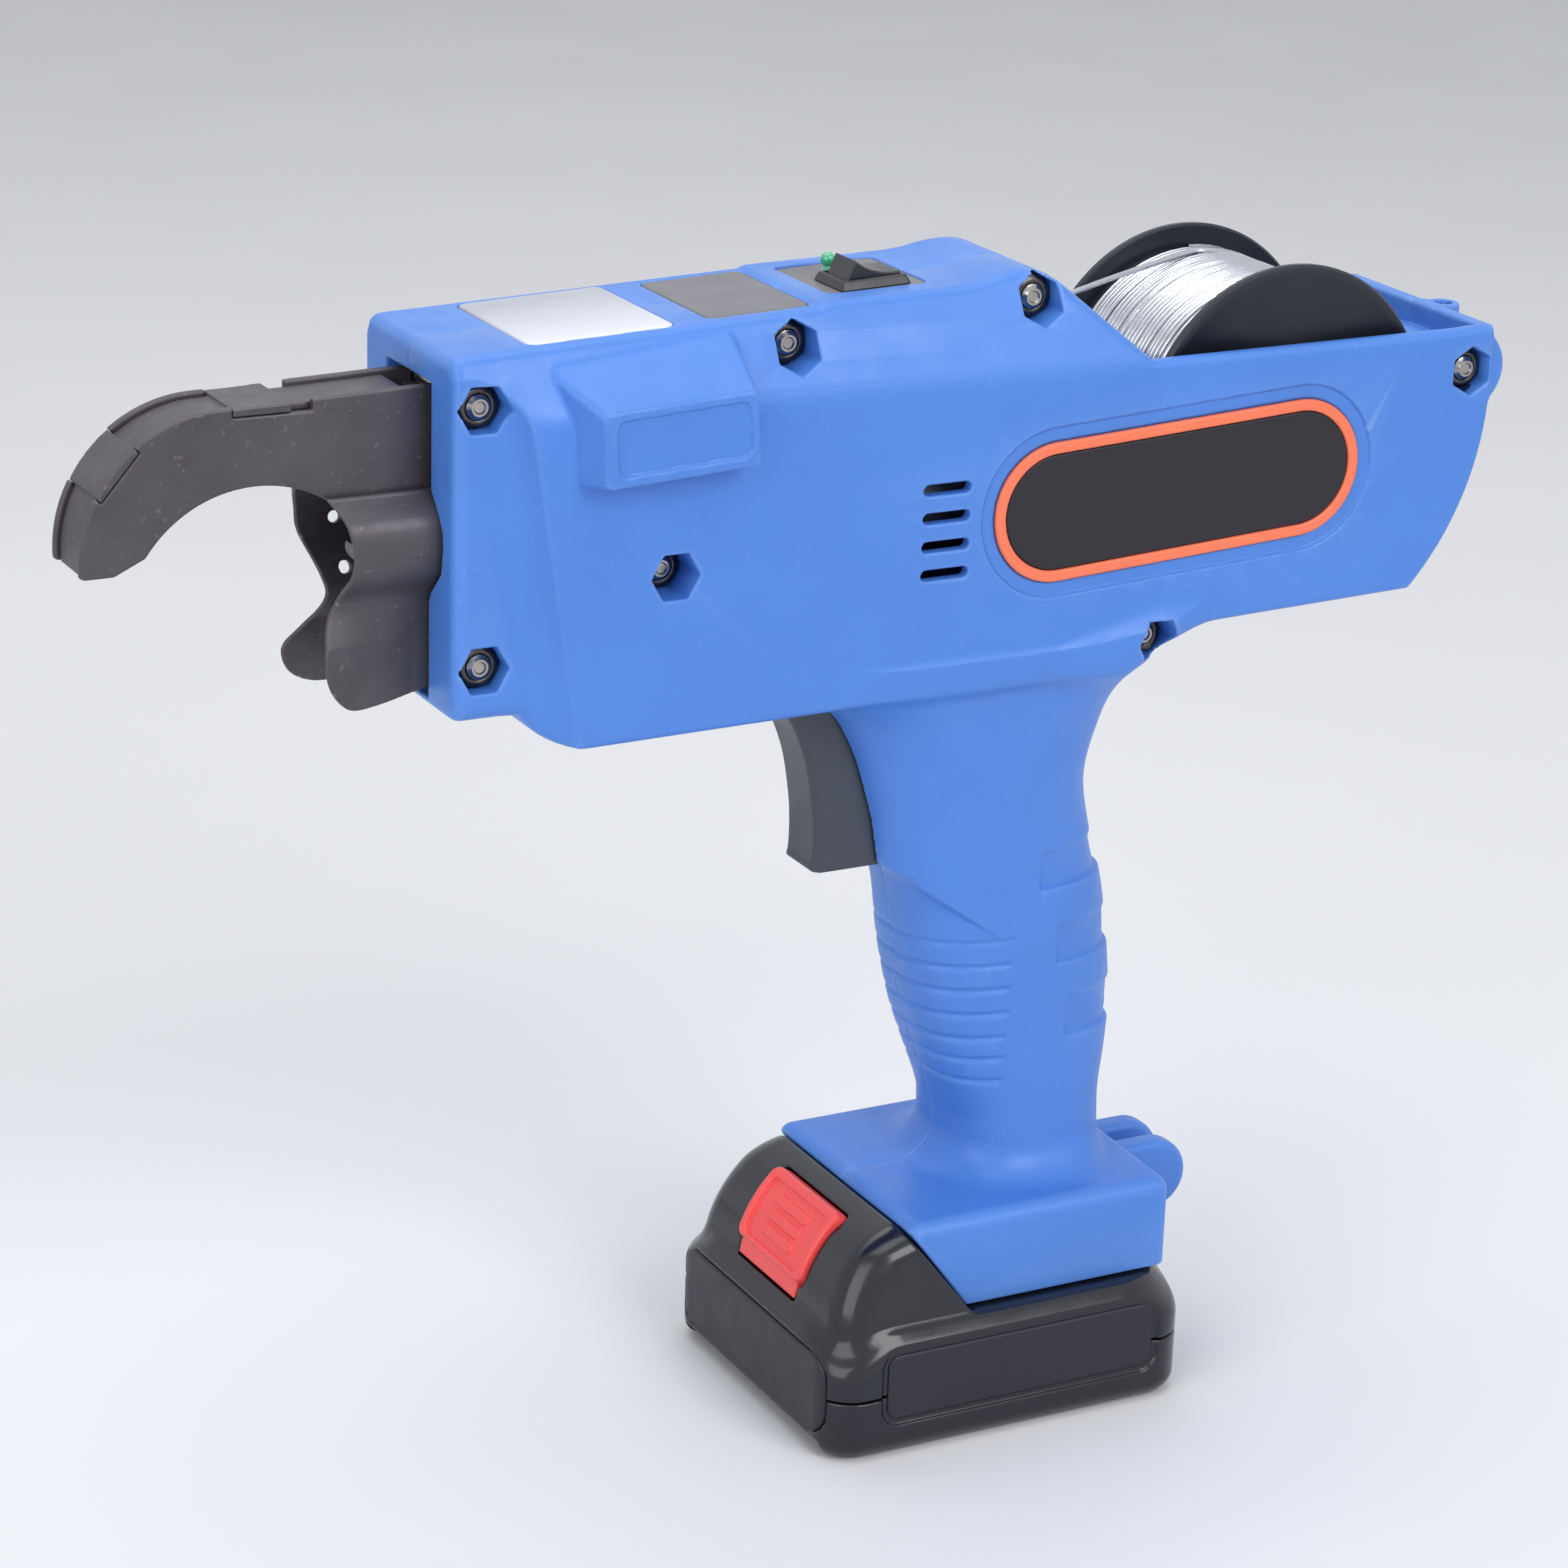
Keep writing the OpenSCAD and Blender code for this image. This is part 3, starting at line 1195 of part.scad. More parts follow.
module battery_slice(z0, z1) {
    block(-battery_front - over, battery_back + over, -battery_half_w, battery_half_w, z0, z1);
}
// Rail on top of the battery, from a height to the rail's top
module rail(half, z0) {
    block(rail_front_x + over, rail_back_x - wall, -half, half, z0, rail_z1);
}
module battery_lower_case() {
    color("#32323a") difference() {
        intersection() {
            battery_solid();
            battery_slice(0, split_z);
        }
        battery_room();
    }
}
// Puts a part on the curved front of the hump, square to its face
module on_slope() {
    mid = hump_c + hump_r * [-sin(button_slope), cos(button_slope)];
    translate([mid[0], 0, mid[1]]) rotate([0, -button_slope, 0]) children();
}
button_t = 5;
button_proud = 1.2;
button_travel = 2.5;
module battery_upper_case() {
    room = 2 * gap;
    color("#32323a") difference() {
        union() {
            intersection() {
                battery_solid();
                battery_slice(split_z, hump_top_z);
            }
            rail(rail_half_w, battery_h - eps);
            rail(rail_half_w + rail_grip, foot_z + rail_lip_t + gap);
        }
        battery_room();
        on_slope() translate([0, 0, button_proud - button_t - button_travel - gap])
            linear_extrude(button_t + 10) square([button_len + room, button_w + room], center = true);
    }
}
module battery_button() {
    color("#f53c3c") intersection() {
        on_slope() translate([0, 0, button_proud - button_t]) linear_extrude(button_t)
            round_rect(button_len, button_w, 2);
        rod_y(hump_c[0], hump_c[1], hump_r + button_proud, -button_w, button_w);
    }
}
cell_count = 3;
module battery_cells() {
    pitch = 2 * cell_r + gap;
    color("#4f8f6a") for (i = [0:cell_count - 1])
        translate([-cell_len / 2, (i - (cell_count - 1) / 2) * pitch, battery_wall + cell_r + run_gap])
            rotate([0, 90, 0]) cylinder(r = cell_r, h = cell_len);
}
module battery_contacts() {
    color("#c2a24e") for (y = [-9, -3, 3, 9]) block(8, 24, y - 0.8, y + 0.8, rail_z1, rail_z1 + 2);
}

left_housing();
right_housing();
housing_bolts();
housing_nuts();
left_badge();
left_badge_border();
right_badge();
right_badge_border();
display_window();
display_board();
label_plate();
switch_plate();
switch_bezel();
power_rocker();
status_led();
arm_left_plate();
arm_right_plate();
arm_strip();
arm_spacer();
lower_guide_left();
lower_guide_right();
bearing_plate();
gearbox_case();
twist_motor();
sun_gear();
planet_gear_1();
planet_gear_2();
planet_gear_3();
planet_carrier();
twist_hook();
feed_bracket();
feed_motor();
feed_pinion();
feed_gear();
feed_roller();
lever_pin();
pinch_lever();
pinch_roller();
wire_tube();
spool_axle();
wire_spool();
wire_core();
wire_winding();
wire_strand();
trigger();
trigger_switch();
control_board();
terminal_block();
strap_pin();
battery_lower_case();
battery_upper_case();
battery_button();
battery_cells();
battery_contacts();
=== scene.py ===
"""Looks of a cordless rebar tying tool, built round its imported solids.

Moulded and formed pieces are signed distance fields in millimetres, which become meshes in metres.
"""
import math

import bpy
import numpy as np
from mathutils import Matrix, Vector


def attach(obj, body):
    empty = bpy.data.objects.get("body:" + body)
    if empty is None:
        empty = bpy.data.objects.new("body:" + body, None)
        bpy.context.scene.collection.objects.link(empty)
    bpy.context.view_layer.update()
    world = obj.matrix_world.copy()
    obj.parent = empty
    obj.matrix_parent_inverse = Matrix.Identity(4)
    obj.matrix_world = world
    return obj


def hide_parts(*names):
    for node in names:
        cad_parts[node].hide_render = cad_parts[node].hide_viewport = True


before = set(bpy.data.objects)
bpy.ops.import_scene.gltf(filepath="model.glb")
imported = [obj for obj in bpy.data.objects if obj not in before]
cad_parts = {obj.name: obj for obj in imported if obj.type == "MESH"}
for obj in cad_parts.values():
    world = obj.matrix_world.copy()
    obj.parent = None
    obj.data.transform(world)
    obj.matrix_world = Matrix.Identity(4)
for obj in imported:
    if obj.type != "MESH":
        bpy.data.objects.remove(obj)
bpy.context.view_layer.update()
MM = 0.001
COARSE = 1.0

# Body, in millimetres, with the nose towards -X
NOSE_X, NOSE_TOP, NOSE_FLOOR, NOSE_HALF = -124.0, 237.0, 166.5, 22.0
CREST_X, CREST_Z, RIM_X, RIM_Z = 6.0, 242.0, 25.0, 225.0
HALF_W, TOP_HALF, SHOULDER_Z, FLOOR_Z = 26.5, 17.5, 224.5, 161.3
WALL = 3.0
TAIL_X, TAIL_R, TAIL_Z = 107.6, 60.0, 212.0
SPOOL_X, SPOOL_Z, SPOOL_R, SPOOL_HALF = 60.0, 207.0, 33.5, 21.6
TOP_TILT = math.atan2(CREST_Z - NOSE_TOP, CREST_X - NOSE_X)
FOOT_Z, FOOT_TOP = 27.4, 48.4
# Bolts: x, z, distance of the nut's seat from the seam, turn of the hexagon in degrees
BOLTS = [(-118, 227.3, 15, 0), (-117.6, 176.8, 15, 0), (-52.9, 233.4, 13, 30), (-80, 192.2, 15, 0),
         (1.9, 237.7, 12, 30), (102.2, 216, 19.5, 30), (29, 166.5, 17, 0)]
BOLT_R, NUT_ACROSS, NUT_T = 2.5, 8.0, 4.0
NUT_POCKET, HEAD_POCKET_R = 8.9, 4.6
STRAP_X, STRAP_Z, AXLE_BORE = 48.5, 36.9, 5.06
BADGE_X, BADGE_Z, BADGE_TILT = 32.5, 197.8, math.radians(3.3)
BADGE_LEN, BADGE_H, BADGE_RIM = 85.6, 28.8, 2.5
HUMP, HUMP_R, SLOPE = (-13.5, 22.5), 28.75, math.radians(56.4)
SEAM_Z = 13.4
BUTTON_AT = (HUMP[0] - HUMP_R * math.sin(SLOPE), HUMP[1] + HUMP_R * math.cos(SLOPE))
# Battery base: its middle along x, half length and half width
BASE_X, BASE_HALF_L, BASE_HALF_W = -2.25, 43.25, 37.0
SWITCH_X, SWITCH_Y, LAMP_X, LAMP_Y = -29.8, -4.2, -32.5, 5.0
# Plates sunk in the top: x, y, length, width, corner radius, depth
WINDOW_SEAT = (-91.8, 0, 30.5, 34, 2, 2)
LABEL_SEAT = (-58, 0, 22, 31, 2, 1.2)
SWITCH_SEAT = (-30, 0.8, 22, 24, 2, 1.2)
PLATE_ROOM = 0.2
# Eye on the tail: its place and radii
EYE_X, EYE_Y, EYE_R, EYE_BORE = 110.0, 4.0, 3.5, 2.0


# Fields: distances in millimetres, negative inside
class Grid:
    """Points a fixed step apart, as three arrays that broadcast against each other."""

    def __init__(self, axes):
        self.axes = axes
        shapes = ((-1, 1, 1), (1, -1, 1), (1, 1, -1))
        self.x, self.y, self.z = (a.reshape(shape) for a, shape in zip(axes, shapes))


def grid_over(low, high, step):
    step = step * COARSE
    return Grid([np.arange(a - 2 * step, b + 2.5 * step, step, dtype=np.float32) for a, b in zip(low, high)])


def within(grid, field, low, high, change):
    """Lets change(part, values) rework a field inside a box only."""
    spans = tuple(slice(*np.searchsorted(a, ends)) for a, ends in zip(grid.axes, zip(low, high)))
    field[spans] = change(Grid([a[s] for a, s in zip(grid.axes, spans)]), field[spans])


def part_of(grid, part, field):
    """The values that a whole grid's field has over one part of the grid."""
    spans = tuple(slice(*np.searchsorted(a, (b[0], b[-1] + 1e-4))) for a, b in zip(grid.axes, part.axes))
    return field[spans]


def slab(a, low, high):
    return np.maximum(low - a, a - high)


def disc(p, q, r):
    return np.hypot(p, q) - r


def round_rect(p, q, half_p, half_q, r):
    dp, dq = np.abs(p) - half_p + r, np.abs(q) - half_q + r
    return np.minimum(np.maximum(dp, dq), 0) + np.hypot(np.maximum(dp, 0), np.maximum(dq, 0)) - r


def hexagon(p, q, across, turn):
    """A hexagon with its points along p, or turned by some degrees."""
    flats = [math.radians(turn + 30 + 60 * k) for k in range(3)]
    return np.maximum.reduce([np.abs(p * math.cos(a) + q * math.sin(a)) for a in flats]) - across / 2


def stretch_distance(p, q, a, b):
    """Distance from the straight stretch between two points."""
    edge = b - a
    along = np.clip(((p - a[0]) * edge[0] + (q - a[1]) * edge[1]) / (edge @ edge), 0, 1)
    return np.hypot(p - a[0] - along * edge[0], q - a[1] - along * edge[1])


def polygon(p, q, points):
    """Signed distance from a closed outline."""
    points = np.asarray(points, np.float32)
    best, inside = np.float32(np.inf), False
    for a, b in zip(points, np.roll(points, -1, axis=0)):
        best = np.minimum(best, stretch_distance(p, q, a, b))
        edge = b - a
        if edge[1] != 0:
            crossed = ((a[1] > q) != (b[1] > q)) & (p < a[0] + (q - a[1]) * edge[0] / edge[1])
            inside = inside ^ crossed
    return np.where(inside, -best, best)


def polyline(p, q, points):
    """Distance from an open line."""
    points = np.asarray(points, np.float32)
    best = np.float32(np.inf)
    for a, b in zip(points[:-1], points[1:]):
        best = np.minimum(best, stretch_distance(p, q, a, b))
    return best


def meet(a, b, r):
    """What two fields share, with the edge rounded."""
    return np.minimum(-r, np.maximum(a, b)) + np.hypot(np.maximum(r + a, 0), np.maximum(r + b, 0))


def join(a, b, r):
    """Two fields together, with a fillet between them."""
    return -meet(-a, -b, r)


def cut(a, b, r=0.4):
    """The first field without the second."""
    return meet(a, -b, r)


def arc(centre, r, start, end, n):
    angles = [math.radians(start + (end - start) * i / n) for i in range(n + 1)]
    return [(centre[0] + r * math.cos(a), centre[1] + r * math.sin(a)) for a in angles]


def flowing(points, n=6):
    """Points of a smooth curve through the given ones."""
    pts = [np.array(p, float) for p in points]
    pts = [2 * pts[0] - pts[1], *pts, 2 * pts[-1] - pts[-2]]
    made = []
    for a, b, c, d in zip(pts, pts[1:], pts[2:], pts[3:]):
        for t in np.arange(n) / n:
            square = (2 * a - 5 * b + 4 * c - d) * t**2
            cube = (3 * b - 3 * c + d - a) * t**3
            made.append(0.5 * (2 * b + (c - a) * t + square + cube))
    return [*made, pts[-2]]


# Meshes from fields
def surface(field):
    """Points, in steps of the grid, and quads of the surface where a field is zero."""
    inside = field < 0
    shape = np.array(field.shape) - 1
    count = np.zeros(shape, np.int8)
    for corner in np.ndindex(2, 2, 2):
        count += inside[tuple(slice(c, c + n) for c, n in zip(corner, shape))]
    active = (count > 0) & (count < 8)
    cells = np.argwhere(active)
    number = np.zeros(shape, np.int32)
    number[active] = np.arange(len(cells))
    total, hits = np.zeros((len(cells), 3)), np.zeros(len(cells))
    for axis in range(3):
        for corner in np.ndindex(2, 2, 2):
            if corner[axis]:
                continue
            start = cells + corner
            a, b = field[tuple(start.T)], field[tuple((start + np.eye(3, dtype=int)[axis]).T)]
            crossed = (a < 0) != (b < 0)
            spots = start[crossed].astype(float)
            spots[:, axis] += a[crossed] / (a[crossed] - b[crossed])
            total[crossed] += spots
            hits[crossed] += 1
    quads = []
    for axis in range(3):
        u, v = (axis + 1) % 3, (axis + 2) % 3
        low, high = (inside.take(range(k, k + shape[axis]), axis) for k in (0, 1))
        at = np.argwhere(low != high)
        at = at[(at[:, u] > 0) & (at[:, v] > 0) & (at[:, u] < shape[u]) & (at[:, v] < shape[v])]
        ring = []
        for du, dv in ((-1, -1), (0, -1), (0, 0), (-1, 0)):
            cell = at.copy()
            cell[:, u] += du
            cell[:, v] += dv
            ring.append(number[tuple(cell.T)])
        quad = np.stack(ring, axis=1)
        inward = ~inside[tuple(at.T)]
        quad[inward] = quad[inward][:, ::-1]
        quads.append(quad)
    return total / hits[:, None], np.concatenate(quads)


def sample(field, spots):
    """Field values at places given in steps of the grid."""
    base = np.clip(np.floor(spots).astype(int), 0, np.array(field.shape) - 2)
    share = spots - base
    value = 0
    for corner in np.ndindex(2, 2, 2):
        value = value + np.prod(np.where(corner, share, 1 - share), axis=1) * field[tuple((base + corner).T)]
    return value


def add_object(name, mesh):
    obj = bpy.data.objects.new(name, mesh)
    bpy.context.scene.collection.objects.link(obj)
    return obj


def mesh_of(name, points, faces):
    """A smooth mesh from arrays of points in metres and of faces with equal corner counts."""
    mesh = bpy.data.meshes.new(name)
    mesh.vertices.add(len(points))
    mesh.vertices.foreach_set("co", np.ascontiguousarray(points, np.float32).ravel())
    mesh.loops.add(faces.size)
    mesh.loops.foreach_set("vertex_index", np.ascontiguousarray(faces, np.int32).ravel())
    mesh.polygons.add(len(faces))
    mesh.polygons.foreach_set("loop_start", np.arange(0, faces.size, faces.shape[1], dtype=np.int32))
    mesh.update(calc_edges=True)
    mesh.validate()
    mesh.shade_smooth()
    return mesh


def field_piece(name, field, grid, triangles, place=Matrix.Identity(4), mirrored=False):
    """An object from a field, thinned to about a number of triangles, with the field's own normals."""
    low = np.array([a[0] for a in grid.axes], float)
    step = np.array([(a[-1] - a[0]) / (len(a) - 1) for a in grid.axes], float)
    spots, quads = surface(field)
    rough = add_object(name, mesh_of(name, (low + spots * step) * MM, quads))
    thin = rough.modifiers.new("thin", "DECIMATE")
    thin.ratio = min(1.0, triangles / (2 * len(quads)))
    mesh = bpy.data.meshes.new_from_object(rough.evaluated_get(bpy.context.evaluated_depsgraph_get()))
    bpy.data.objects.remove(rough)
    points = np.empty(len(mesh.vertices) * 3, np.float32)
    mesh.vertices.foreach_get("co", points)
    spots = (points.reshape(-1, 3) / MM - low) / step
    normals = np.stack([sample(field, spots + e) - sample(field, spots - e) for e in 0.7 * np.eye(3)], axis=1)
    normals /= np.maximum(np.linalg.norm(normals, axis=1, keepdims=True), 1e-9)
    if mirrored:
        place = place @ Matrix.Scale(-1, 4, (0, 1, 0))
    mesh.transform(Matrix.Scale(1 / MM, 4))
    mesh.transform(place)
    mesh.transform(Matrix.Scale(MM, 4))
    if mirrored:
        mesh.flip_normals()
    mesh.shade_smooth()
    turned = normals @ np.array(place.to_3x3()).T
    mesh.normals_split_custom_set_from_vertices(turned)
    return add_object(name, mesh)


def lathe(name, profile, place, n=64):
    """An object turned about its own z axis from points of radius and height."""
    rings = np.array(profile, float)
    turns = 2 * math.pi * np.arange(n) / n
    points = np.stack([np.outer(rings[:, 0], np.cos(turns)), np.outer(rings[:, 0], np.sin(turns)),
                       np.repeat(rings[:, 1:], n, axis=1)], axis=2).reshape(-1, 3)
    i, j = np.meshgrid(np.arange(len(rings) - 1), np.arange(n), indexing="ij")
    k = (j + 1) % n
    faces = np.stack([i * n + j, i * n + k, (i + 1) * n + k, (i + 1) * n + j], axis=2).reshape(-1, 4)
    mesh = mesh_of(name, points, faces)
    mesh.transform(place)
    mesh.transform(Matrix.Scale(MM, 4))
    mesh.set_sharp_from_angle(angle=math.radians(40))
    return add_object(name, mesh)


def swept(name, path, radius, sides=8):
    """A wire of round section along a path, in millimetres."""
    path = np.array(path, float)
    along = np.gradient(path, axis=0)
    along /= np.linalg.norm(along, axis=1, keepdims=True)
    side = np.cross(along, [0.0, 1.0, 0.02])
    side /= np.linalg.norm(side, axis=1, keepdims=True)
    over = np.cross(side, along)
    turns = 2 * math.pi * np.arange(sides) / sides
    ring = side[:, None] * np.cos(turns)[:, None] + over[:, None] * np.sin(turns)[:, None]
    points = path[:, None] + radius * ring
    i, j = np.meshgrid(np.arange(len(path) - 1), np.arange(sides), indexing="ij")
    k = (j + 1) % sides
    corners = [i * sides + j, (i + 1) * sides + j, (i + 1) * sides + k, i * sides + k]
    faces = np.stack(corners, axis=2).reshape(-1, 4)
    return add_object(name, mesh_of(name, points.reshape(-1, 3) * MM, faces))


def joined(name, objects):
    """Several objects as one."""
    bpy.ops.object.select_all(action="DESELECT")
    for o in objects:
        o.select_set(True)
    bpy.context.view_layer.objects.active = objects[0]
    bpy.ops.object.join()
    objects[0].name = name
    return objects[0]


# Places on the tool
def top_z(x):
    return NOSE_TOP + (x - NOSE_X) * math.tan(TOP_TILT)


def top_frame(x, y):
    """Frame on the sloping flat top, with its z axis out of the top."""
    return Matrix.Translation((x, y, top_z(x))) @ Matrix.Rotation(-TOP_TILT, 4, "Y")


def along_y(x, z):
    """Frame whose z axis runs along the part's y axis."""
    return Matrix.Translation((x, 0, z)) @ Matrix.Rotation(math.radians(-90), 4, "X")


def badge_shape(g, inset):
    p, q = g.x - BADGE_X, g.z - BADGE_Z
    c, s = math.cos(BADGE_TILT), math.sin(BADGE_TILT)
    half_len, half_h = BADGE_LEN / 2 - inset, BADGE_H / 2 - inset
    return round_rect(p * c + q * s, q * c - p * s, half_len, half_h, half_h)


# Housing
GRIP = np.array([  # height, front, rear, half width, squareness
    (172, -50, 37, 26.0, 5), (165.3, -48, 36, 25.6, 5), (160.6, -44.5, 34.0, 24.3, 4),
    (154.3, -36, 30.6, 22.5, 3.2), (147.3, -30.5, 27.8, 21, 2.9), (134.3, -25, 25.2, 19.5, 2.7),
    (120.3, -20, 28.0, 18.8, 2.6), (110.3, -17, 31.2, 18.5, 2.6), (97.3, -15.3, 33.6, 18.2, 2.6),
    (83.3, -12, 34.9, 17.5, 2.7), (72.3, -8, 34.4, 17, 2.7), (63.4, -4.4, 33.2, 17, 2.7),
    (57.4, -3.2, 33.0, 17.4, 2.7), (40, -3, 33.5, 18, 2.8)])
# Heights of the lip behind the trigger, and how far it reaches forward there
LIP_Z = [118.8, 123.2, 129.7, 135.8, 142.4, 148.5, 152.3, 158]
LIP_REACH = [4.8, 4.0, 2.8, 2.2, 1.6, 1.4, 0.8, 0]
# Heights of the finger grooves, then each thumb step's lower edge, upper edge and start along x
RIB_LINES = [102.5, 96.9, 91.4, 85.8, 80.2, 75.2, 70]
THUMB_STEPS = [(112.4, 121.0, 9.2), (95.2, 104.0, 14.4), (78.0, 87.4, 17.8)]
NOSE_LEAN = math.radians(8.9)


def grip_field(g):
    """The grip: a rounded oblong at each height, squarer towards the body."""
    curve = np.array(flowing(GRIP[::-1], 8))
    front, rear, half, square = (np.interp(g.z, curve[:, 0], c).astype(np.float32) for c in curve.T[1:])
    front = front - trigger_lip(g)
    long = (rear - front) / 2
    u, v = np.abs((g.x - (front + rear) / 2) / long), np.abs(g.y / half)
    total = np.maximum(u**square + v**square, 1e-3)
    steep = np.hypot(u ** (square - 1) / long, v ** (square - 1) / half) * total ** (1 / square - 1)
    field = (total ** (1 / square) - 1) / np.maximum(steep, 0.01)
    return field + rib_depth(g) + thumb_depth(g)


def trigger_lip(g):
    """How far the grip reaches forward to wrap the rear of the trigger, with a ledge below."""
    ledge = LIP_Z[0] - 0.67 * (g.x + 23.2)
    return np.interp(g.z, LIP_Z, LIP_REACH).astype(np.float32) * np.clip((g.z - ledge) / 0.9, 0, 1)


def rib_depth(g):
    """Shallow grooves for the fingers, on the front of the grip."""
    nearest = np.abs(g.z[..., None] - np.array(RIB_LINES)).min(axis=-1).astype(np.float32)
    depth = 0.6 * np.exp(-(nearest / 0.55) ** 2)
    band = np.clip((g.z - 67) / 2, 0, 1) * np.clip((104 - g.z) / 2, 0, 1)
    return depth * band * np.clip((4.5 - g.x) / 1.2, 0, 1)


def thumb_depth(g):
    """Three sunk panels on the rear of the grip, each deepest at its lower edge."""
    depth = np.zeros(1, np.float32)
    for low, high, start in THUMB_STEPS:
        ramp = np.clip((high - g.z) / 0.5, 0, 1) * np.clip((g.z - low) / 0.5, 0, 1)
        ramp = ramp * (0.45 + 0.6 * (high - g.z) / (high - low))
        depth = depth + ramp * np.clip((g.x - start) / 0.5, 0, 1)
    return depth


def body_profile(g):
    """Outline of the body from the side, without the grip."""
    tail = arc((TAIL_X - TAIL_R, TAIL_Z), TAIL_R, 0, -44, 16)
    chin = arc((NOSE_X + 26.1, FLOOR_Z + 12.6), 14, 270, 213, 8)
    hump = flowing([(-14, 241.4), (-9.5, 241.9), (-5.5, 242.8), (-0.5, 243.2), (4, 242.4), (7.5, 240.3)], 4)
    return polygon(g.x, g.z, [
        (NOSE_X - 6, NOSE_FLOOR), (NOSE_X - 6, NOSE_TOP - 0.23), (-46.4, 240.0), (-44.8, 240.7), *hump,
        (RIM_X, RIM_Z), (TAIL_X, RIM_Z), *tail, (31, 168.5), (22, FLOOR_Z), *chin,
        (NOSE_X + 14.3, NOSE_FLOOR)])


def body_sides(g):
    """Flanks, the facets above them and the narrower nose with its leaning, arched cove."""
    drop, slant = CREST_Z - SHOULDER_Z, HALF_W - TOP_HALF
    facet = ((g.y - HALF_W) * drop + (g.z - SHOULDER_Z) * slant) / math.hypot(drop, slant)
    side = meet(facet, g.y - HALF_W, 1.1)
    lean = (g.x - NOSE_X - 9.4) * math.cos(NOSE_LEAN) + (g.z - SHOULDER_Z) * math.sin(NOSE_LEAN)
    step, run = HALF_W - NOSE_HALF, 5 + 4 * np.clip((SHOULDER_Z - g.z) / 60, 0, 1)
    share = np.clip((meet(lean, g.z - 234, 9) + run - step) / run, 0, 1.4)
    cove = (g.y - NOSE_HALF - step * share**2) / np.sqrt(1 + (2 * step / run * share) ** 2)
    return meet(side, cove, 0.5)


def foot_field(g):
    """The flange that the battery slides under."""
    plan = round_rect(g.x - 6.95, g.y, 31.55, 30.4, 2.8)
    return np.maximum(meet(g.z - FOOT_TOP + 0.03 * g.y, plan, 3.2), FOOT_Z - g.z)


def reel_bay(g):
    """Room for the reel, and the trough that its wire runs through."""
    tail = arc((TAIL_X - TAIL_R, TAIL_Z), TAIL_R - WALL, 0, -44, 16)
    bay = polygon(g.x, g.z, [(22, 260), (TAIL_X - WALL, 260), *tail, (SPOOL_X, 171.5), (22, 171.5)])
    bay = meet(bay, g.y - HALF_W + WALL, 1)
    trough = polygon(g.x, g.z, [(7, 260), (7, 237), (22.5, 223.6), (22.5, 260)])
    return np.minimum(bay, meet(trough, g.y - 14.5, 1))


def housing_shell(g):
    """The half of the shell that both sides share, from the seam outwards along y."""
    chin = np.clip((-106 - g.x) / 8, 0, 1) * np.clip((186 - g.z) / 8, 0, 1)
    body = meet(meet(body_profile(g), body_sides(g), 1.6 + 2.2 * chin), NOSE_X - g.x, 2.6)
    grip = np.maximum(grip_field(g), slab(g.z, 38, 166))
    outer = join(body, grip, 3.5 + 7.5 * np.clip((g.x - 6) / 24, 0, 1))
    outer = join(outer, foot_field(g), 8 - 5 * np.clip((g.x - 24) / 8, 0, 1))
    tang = np.maximum(slab(g.x, 30, STRAP_X), slab(g.z, 28.9, 44.9))
    lug = np.minimum(disc(g.x - STRAP_X, g.z - STRAP_Z, 8), tang)
    outer = join(outer, meet(lug, slab(g.y, 2.7, 8.7), 1.8), 2)
    tail_x, tail_z = BOLTS[5][:2]
    mound = meet(disc(g.x - tail_x, g.z - tail_z, 8.9), slab(g.y, 18, HALF_W - 1), 1.2)
    outer = join(outer, mound, 1)
    inner = np.maximum(outer + WALL, np.minimum(g.x - 19, g.z - 166))
    shell = np.maximum(outer, -inner)
    for x, z, seat, _ in BOLTS:
        def boss(part, values, x=x, z=z, seat=seat):
            rod = np.maximum(disc(part.x - x, part.z - z, 6.9), seat - WALL - part.y)
            core = disc(part.x - x, part.z - z, 4.4)
            core = np.maximum(core, (8.5 if x < -117 else -1) - part.y)
            return np.minimum(values, np.maximum(np.minimum(rod, core), part_of(g, part, outer)))
        within(g, shell, (x - 9, -2, z - 9), (x + 9, 30, z + 9), boss)
    shell = cut(shell, reel_bay(g), 0.8)
    within(g, shell, (97, -2, 211), (108, 24, 222),
           lambda p, v: np.minimum(v, np.maximum(disc(p.x - tail_x, p.z - tail_z, 4.4), p.y - 23.6)))
    return open_shell(g, shell)


def open_shell(g, shell):
    """Cuts what opens the shell on both sides alike."""
    within(g, shell, (-130, -2, 166), (-118, 30, 236), nose_mouth)
    within(g, shell, (-60, -2, 110), (-5, 10, 164), trigger_slot)
    within(g, shell, (-34, 20, 180), (-9, 30, 210), vents)
    within(g, shell, (-14, 22, 178), (80, 30, 218), badge_seat)
    foot_cut = polygon(g.x, g.z, [(-60, 45.4), (-24, 45.4), (-10, 26.4), (-60, 26.4)])
    hollow = np.maximum(np.maximum(slab(g.x, -21, 35.5), g.y - 22.4), g.z - 31)
    shell = cut(cut(shell, foot_cut, 0.5), hollow, 0.5)
    pin = np.maximum(disc(g.x - STRAP_X, g.z - STRAP_Z, 2.06), g.y - 5.8)
    axle = np.maximum(disc(g.x - SPOOL_X, g.z - SPOOL_Z, AXLE_BORE), g.y - 24.7)
    return meet(np.maximum(shell, -np.minimum(pin, axle)), -g.y, 0.45)


def nose_mouth(p, values):
    """Opens the nose for the arm and, with a bulge, for the guide cheeks."""
    bulge = [(9.7, 188), (10.6, 190), (15.4, 194.8), (16.3, 200), (16, 203), (14.4, 205.6), (10.6, 209.7)]
    mouth = polygon(p.y, p.z, [(-9, 168.6), (9.7, 168.6), *bulge, (10.6, 230.4), (-9, 230.4)])
    return cut(values, np.maximum(mouth, p.x + 120.5), 0.5)


